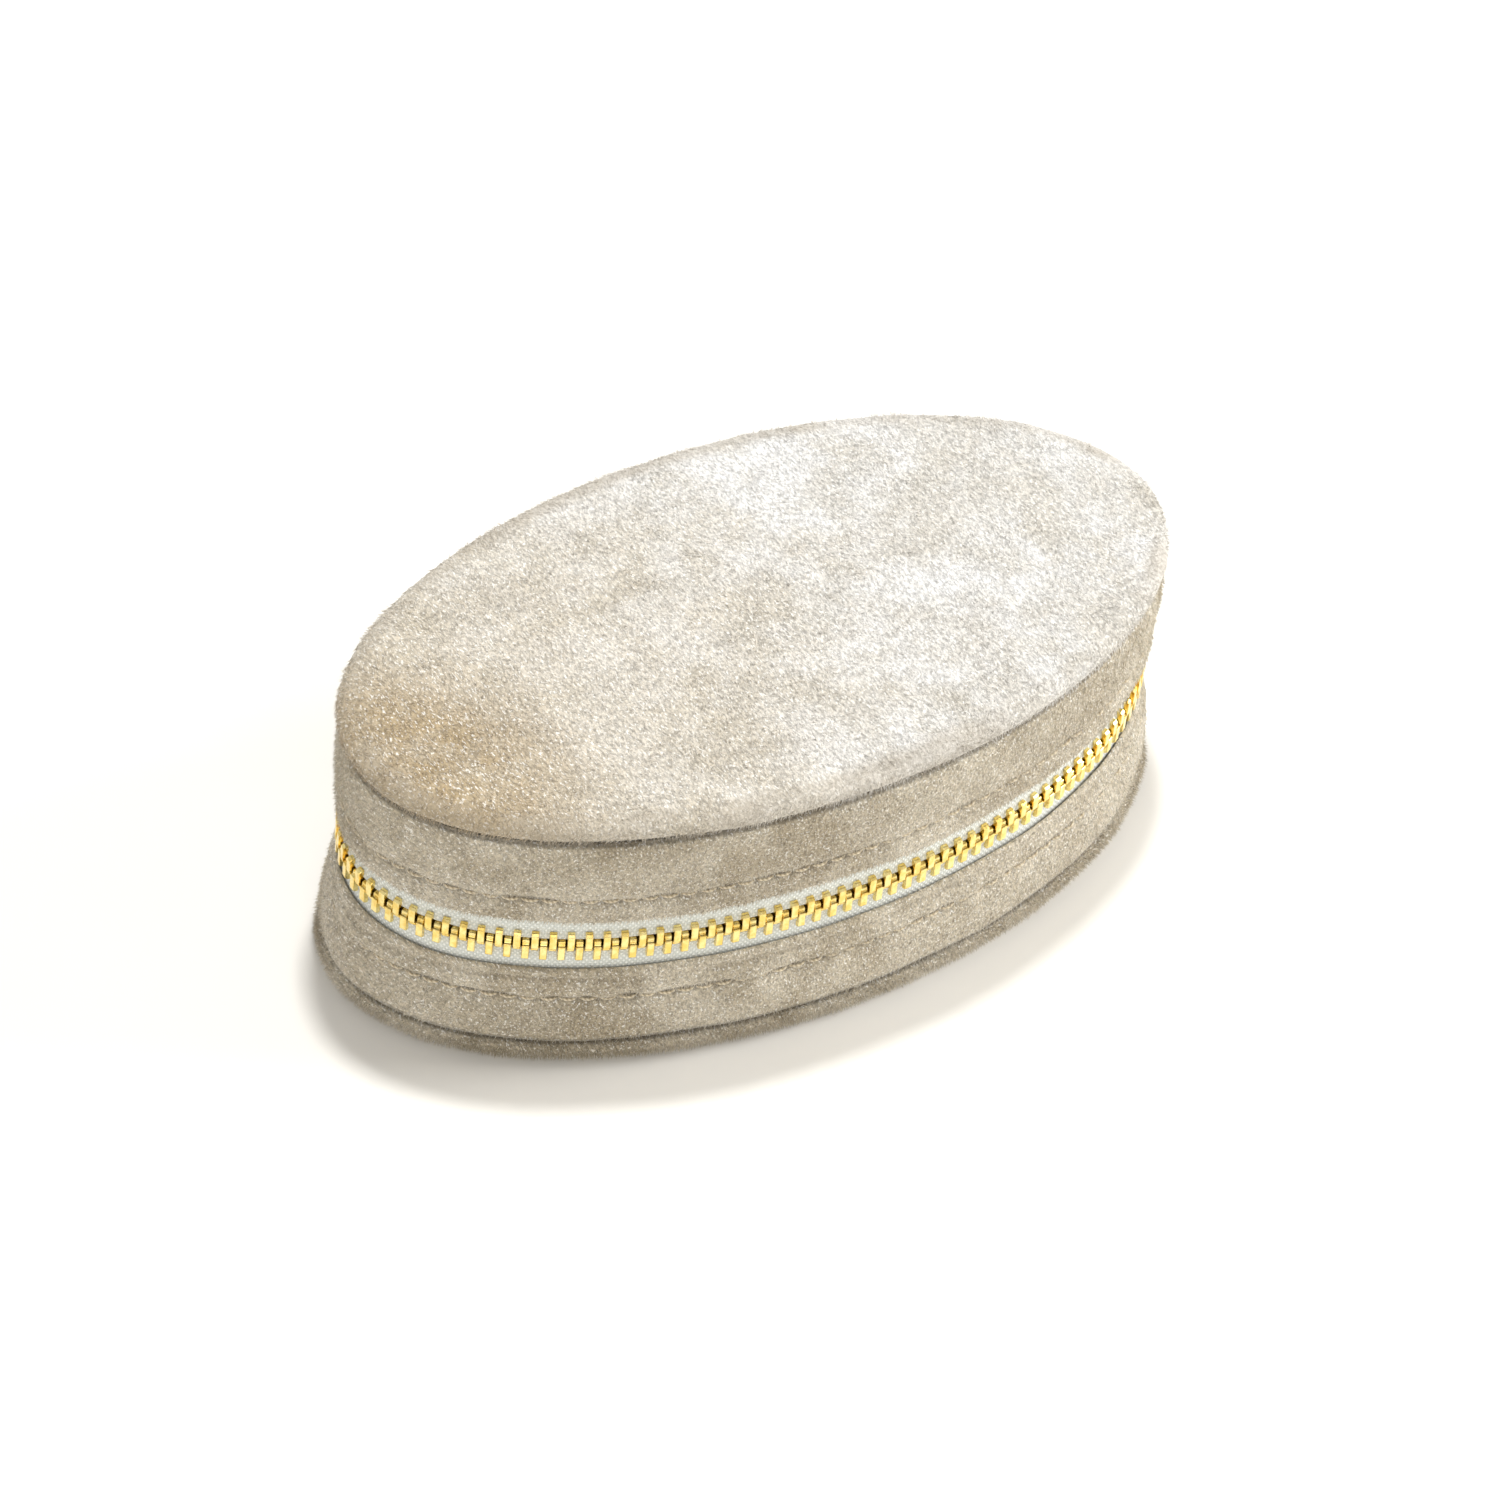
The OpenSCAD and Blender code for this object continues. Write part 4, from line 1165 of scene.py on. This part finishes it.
for side in ("left", "right", "cross"):
    makeDivider("divider" + side.capitalize(), "divider_" + side)
print("dividers made")


roll = {"around": 84, "along": 72, "start": 0.95, "corner": 1.5 * mm, "gathers": 14, "gather": 0.07 * mm,
        "wave": 0.12 * mm, "swell": 0.4 * mm, "pressure": 14.0}


# a foam core in a suede sleeve, gathered at both ends
def makeRoll(number):
    node = "ring_roll_" + str(number)
    low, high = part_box(node)
    middle, radius = (low + high) / 2, (high.x - low.x) / 2 * roll["start"]
    angles = np.linspace(0, full, roll["around"], endpoint=False)
    ends = [(0.0, 0.3 * mm), (radius * 0.35, 0.12 * mm), (radius * 0.7, 0.0),
            (radius - roll["corner"] * 0.4, 0.25 * mm), (radius, roll["corner"])]
    half = (high.y - low.y) / 2
    profile = ends + [(radius, y) for y in np.linspace(roll["corner"], 2 * half - roll["corner"], 14)[1:-1]]
    profile += [(r, 2 * half - y) for r, y in ends[::-1]]
    path = smoothPath(profile, roll["along"])
    grid = np.zeros((len(path), roll["around"], 3))
    for j, (r, y) in enumerate(path):
        nearEnd = math.exp(-min(y, 2 * half - y) / (1.6 * mm))
        wide = max(r, 0) + np.cos(roll["gathers"] * angles) * roll["gather"] * nearEnd * min(r / radius, 1)
        grid[j, :, 0] = middle.x + wide * np.cos(angles)
        grid[j, :, 1] = low.y + y
        grid[j, :, 2] = middle.z + wide * np.sin(angles)
    wave = noiseAt(grid, 7 * mm, 50.0 + number) * roll["wave"]
    wave[[0, -1]] = 0
    grid = pushOut(grid, wave)
    piece = surface("ringRoll" + str(number), grid, suede, True, False, (True, True))
    puff(piece, roll["pressure"], roll["swell"])
    handIn(piece, [node], "base")


for number in (1, 2, 3, 4):
    makeRoll(number)
print("ring rolls made")
runPuffing()


# pieces cast in metal: rough solids fused, then tumbled smooth

def boxPart(bm, low, high, place):
    box = bmesh.new()
    bmesh.ops.create_cube(box, size=1)
    bmesh.ops.subdivide_edges(box, edges=box.edges[:], cuts=5, use_grid_fill=True)
    for vertex in box.verts:
        vertex.co = place([low[k] + (vertex.co[k] + 0.5) * (high[k] - low[k]) for k in range(3)])
    mesh = bpy.data.meshes.new("box")
    box.to_mesh(mesh)
    box.free()
    bm.from_mesh(mesh)
    bpy.data.meshes.remove(mesh)


def castPiece(name, build, voxel, rounds, material, node, body):
    bm = bmesh.new()
    build(bm)
    rough = fromBmesh(name + "Rough", bm)
    remesh = rough.modifiers.new("fuse", "REMESH")
    remesh.mode, remesh.voxel_size = "VOXEL", voxel
    tumble = rough.modifiers.new("tumble", "SMOOTH")
    tumble.factor, tumble.iterations = 0.5, rounds
    bpy.context.view_layer.update()
    ready = rough.evaluated_get(bpy.context.evaluated_depsgraph_get())
    final = bpy.data.meshes.new_from_object(ready)
    bpy.data.objects.remove(rough)
    final.materials.clear()
    final.materials.append(material)
    final.shade_smooth()
    handIn(newObject(name, final), [node], body)


travel = joints["slider_travel"]
swing = joints["pull_swing"]
travelCentre = Vector(travel["pos_m"])
pivot = Vector(swing["pos_m"])
heading = math.atan2(pivot.y - travelCentre.y, pivot.x - travelCentre.x)
pivotOut = 4.5 * mm
travelRadius = math.hypot(pivot.x - travelCentre.x, pivot.y - travelCentre.y) - pivotOut


# local (outwards, towards the hinge, up), bent round the slider's travel
def atSlider(p):
    angle = heading + p[1] / travelRadius
    reach = travelRadius + p[0]
    return Vector((travelCentre.x + reach * math.cos(angle), travelCentre.y + reach * math.sin(angle),
                   case["zipZ"] + p[2]))


sliderLook = {"length": 11 * mm, "nose": 4.7 * mm, "tail": 3.5 * mm, "gap": 1.6 * mm, "plate": 0.95 * mm,
              "flange": 0.8 * mm, "flangeGap": 0.75 * mm, "voxel": 0.13 * mm}


# the plates narrow from the wide nose to the tail
def sliderTaper(p):
    t = min(max((p[1] + 5.5 * mm) / sliderLook["length"], 0), 1)
    ease = t * t * (3 - 2 * t)
    half = sliderLook["tail"] + (sliderLook["nose"] - sliderLook["tail"]) * ease
    corner = max(0, (abs(p[1]) - 4.4 * mm) / (1.1 * mm))
    return Vector((p[0], p[1], p[2] / sliderLook["nose"] * (half - 0.9 * mm * corner ** 2)))


def buildSlider(bm):
    place = lambda p: atSlider(sliderTaper(p))
    half, nose, gap = sliderLook["length"] / 2, sliderLook["nose"], sliderLook["gap"]
    plate, flange = sliderLook["plate"], sliderLook["flange"]
    for side in (1, -1):
        low, high = sorted((side * gap, side * (gap + plate)))
        boxPart(bm, (low, -half, -nose), (high, half, nose), place)
        inner, outer = sorted((side * sliderLook["flangeGap"], side * (gap + 0.4 * mm)))
        for edge in (1, -1):
            zLow, zHigh = sorted((edge * (nose - flange), edge * nose))
            boxPart(bm, (inner, -half, zLow), (outer, half, zHigh), place)
    boxPart(bm, (-gap - 0.4 * mm, half - 1.6 * mm, -0.9 * mm),
            (gap + 0.4 * mm, half - 0.3 * mm, 0.9 * mm), atSlider)


def buildCrown(bm):
    for side in (1, -1):
        y = side * 2.95 * mm
        boxPart(bm, (2.3 * mm, y - 0.45 * mm, -1.0 * mm), (4.9 * mm, y + 0.45 * mm, 1.0 * mm), atSlider)
    boxPart(bm, (4.05 * mm, -3.2 * mm, -0.5 * mm), (4.95 * mm, 3.2 * mm, 0.5 * mm), atSlider)


pullLook = {"length": 16 * mm, "half": 2.8 * mm, "neck": 0.85 * mm, "neckEnd": 1.6 * mm, "shoulder": 5 * mm,
            "thick": 0.55 * mm, "rim": 0.55 * mm, "eye": 1.36 * mm, "eyeWire": 0.34 * mm}


# an eye, a neck and a long rounded tab with a raised rim
def buildPull(bm):
    steps = 48
    ring = []
    for k in range(steps):
        a = full * k / steps
        row = []
        for m in range(12):
            b = full * m / 12
            r = pullLook["eye"] + pullLook["eyeWire"] * math.cos(b)
            row.append(bm.verts.new(atSlider((pivotOut + r * math.cos(a), pullLook["eyeWire"] * 2 * math.sin(b),
                                              r * math.sin(a)))))
        ring.append(row)
    for k in range(steps):
        for m in range(12):
            n, q = (k + 1) % steps, (m + 1) % 12
            bm.faces.new((ring[k][m], ring[n][m], ring[n][q], ring[k][q]))

    def width(d):
        t = min(max((d - pullLook["neckEnd"]) / pullLook["shoulder"], 0), 1)
        wide = pullLook["neck"] + (pullLook["half"] - pullLook["neck"]) * t * t * (3 - 2 * t)
        left = pullLook["length"] - d
        if left < pullLook["half"]:
            wide = min(wide, math.sqrt(max(pullLook["half"] ** 2 - (pullLook["half"] - left) ** 2, 0)))
        return wide

    # a strip down the tab, from corners (outwards, sideways) at each distance; turned flips a mirrored one
    def strip(distances, corners, turned=False):
        rows = [[bm.verts.new(atSlider((pivotOut + x, y, -d))) for x, y in corners(d)] for d in distances]
        for one, two in zip(rows, rows[1:]):
            for k in range(4):
                n = (k + 1) % 4
                bm.faces.new((one[k], two[k], two[n], one[n]) if turned else (one[k], one[n], two[n], two[k]))
        bm.faces.new(rows[0] if turned else rows[0][::-1])
        bm.faces.new(rows[-1][::-1] if turned else rows[-1])

    def rimCorners(edge):
        def corners(d):
            w = max(width(d) - 0.02 * mm, 0.05 * mm)
            inner = max(w - pullLook["rim"], 0)
            t = pullLook["thick"]
            return (t, edge * inner), (t, edge * w), (-t, edge * w), (-t, edge * inner)
        return corners

    def webCorners(d):
        t, w = pullLook["thick"] * 0.72, width(d) * 0.995
        return (t, -w), (t, w), (-t, w), (-t, -w)

    strip(np.linspace(1.5 * mm, pullLook["length"], 60), webCorners)
    for edge in (1, -1):
        strip(np.linspace(2.2 * mm, pullLook["length"] - 0.05 * mm, 70), rimCorners(edge), edge < 0)


# crimped clips on the tape's corded edge: local (outwards, along, up) at a distance along the track
def atTrack(distance):
    angle = float(np.interp(distance, trackLengths, trackAngles))
    a, b = case["halfLength"] - case["tapeInset"], case["halfWidth"] - case["tapeInset"]
    place = Vector((a * math.cos(angle), b * math.sin(angle), case["zipZ"]))
    along = Vector((-a * math.sin(angle), b * math.cos(angle), 0)).normalized()
    out = Vector((along.y, -along.x, 0))
    return lambda p: place + out * p[0] + along * p[1] + Vector((0, 0, p[2]))


stops = {"topAt": 2.6 * mm, "topHalf": (1.1 * mm, 0.75 * mm, 0.8 * mm), "topUp": 2.2 * mm,
         "bottomBack": 2.5 * mm, "bottomHalf": (1.2 * mm, 1.0 * mm, 2.3 * mm)}


def buildTopStops(bm):
    x, y, z = stops["topHalf"]
    for side in (1, -1):
        up = side * stops["topUp"]
        boxPart(bm, (-x, -y, up - z), (x, y, up + z), atTrack(stops["topAt"]))


def buildBottomStop(bm):
    x, y, z = stops["bottomHalf"]
    boxPart(bm, (-x, -y, -z), (x, y, z), atTrack(trackLengths[-1] - stops["bottomBack"]))


castPiece("zipTopStops", buildTopStops, 0.1 * mm, 4, toothGold, "zip_top_stops", "base")
castPiece("zipBottomStop", buildBottomStop, 0.1 * mm, 4, toothGold, "zip_bottom_stop", "base")
castPiece("sliderBody", buildSlider, sliderLook["voxel"], 3, sliderGold, "slider_body",
          "slider")
castPiece("sliderCrown", buildCrown, 0.1 * mm, 3, sliderGold, "slider_crown", "slider")
castPiece("pullTab", buildPull, 0.1 * mm, 2, sliderGold, "pull_tab", "pull")
print("slider, pull tab and stops made")


cadLooks = {"board": boardStock, "foam": foamStock, "zip_metal": toothGold, "slider_metal": sliderGold,
            "velvet": sideVelvet, "lining": suede, "thread": threadCloth, "zip_tape": tapeCloth,
            "mirror": silveredGlass}
for part in frame["record"]["subparts"]:
    held = frame["nodes"][part["node"]]
    if len(held.data.materials) == 0:
        held.data.materials.append(cadLooks[part["material_slot"]])
    for index in range(len(held.data.materials)):
        held.data.materials[index] = cadLooks[part["material_slot"]]
print("materials set on the packed pieces")
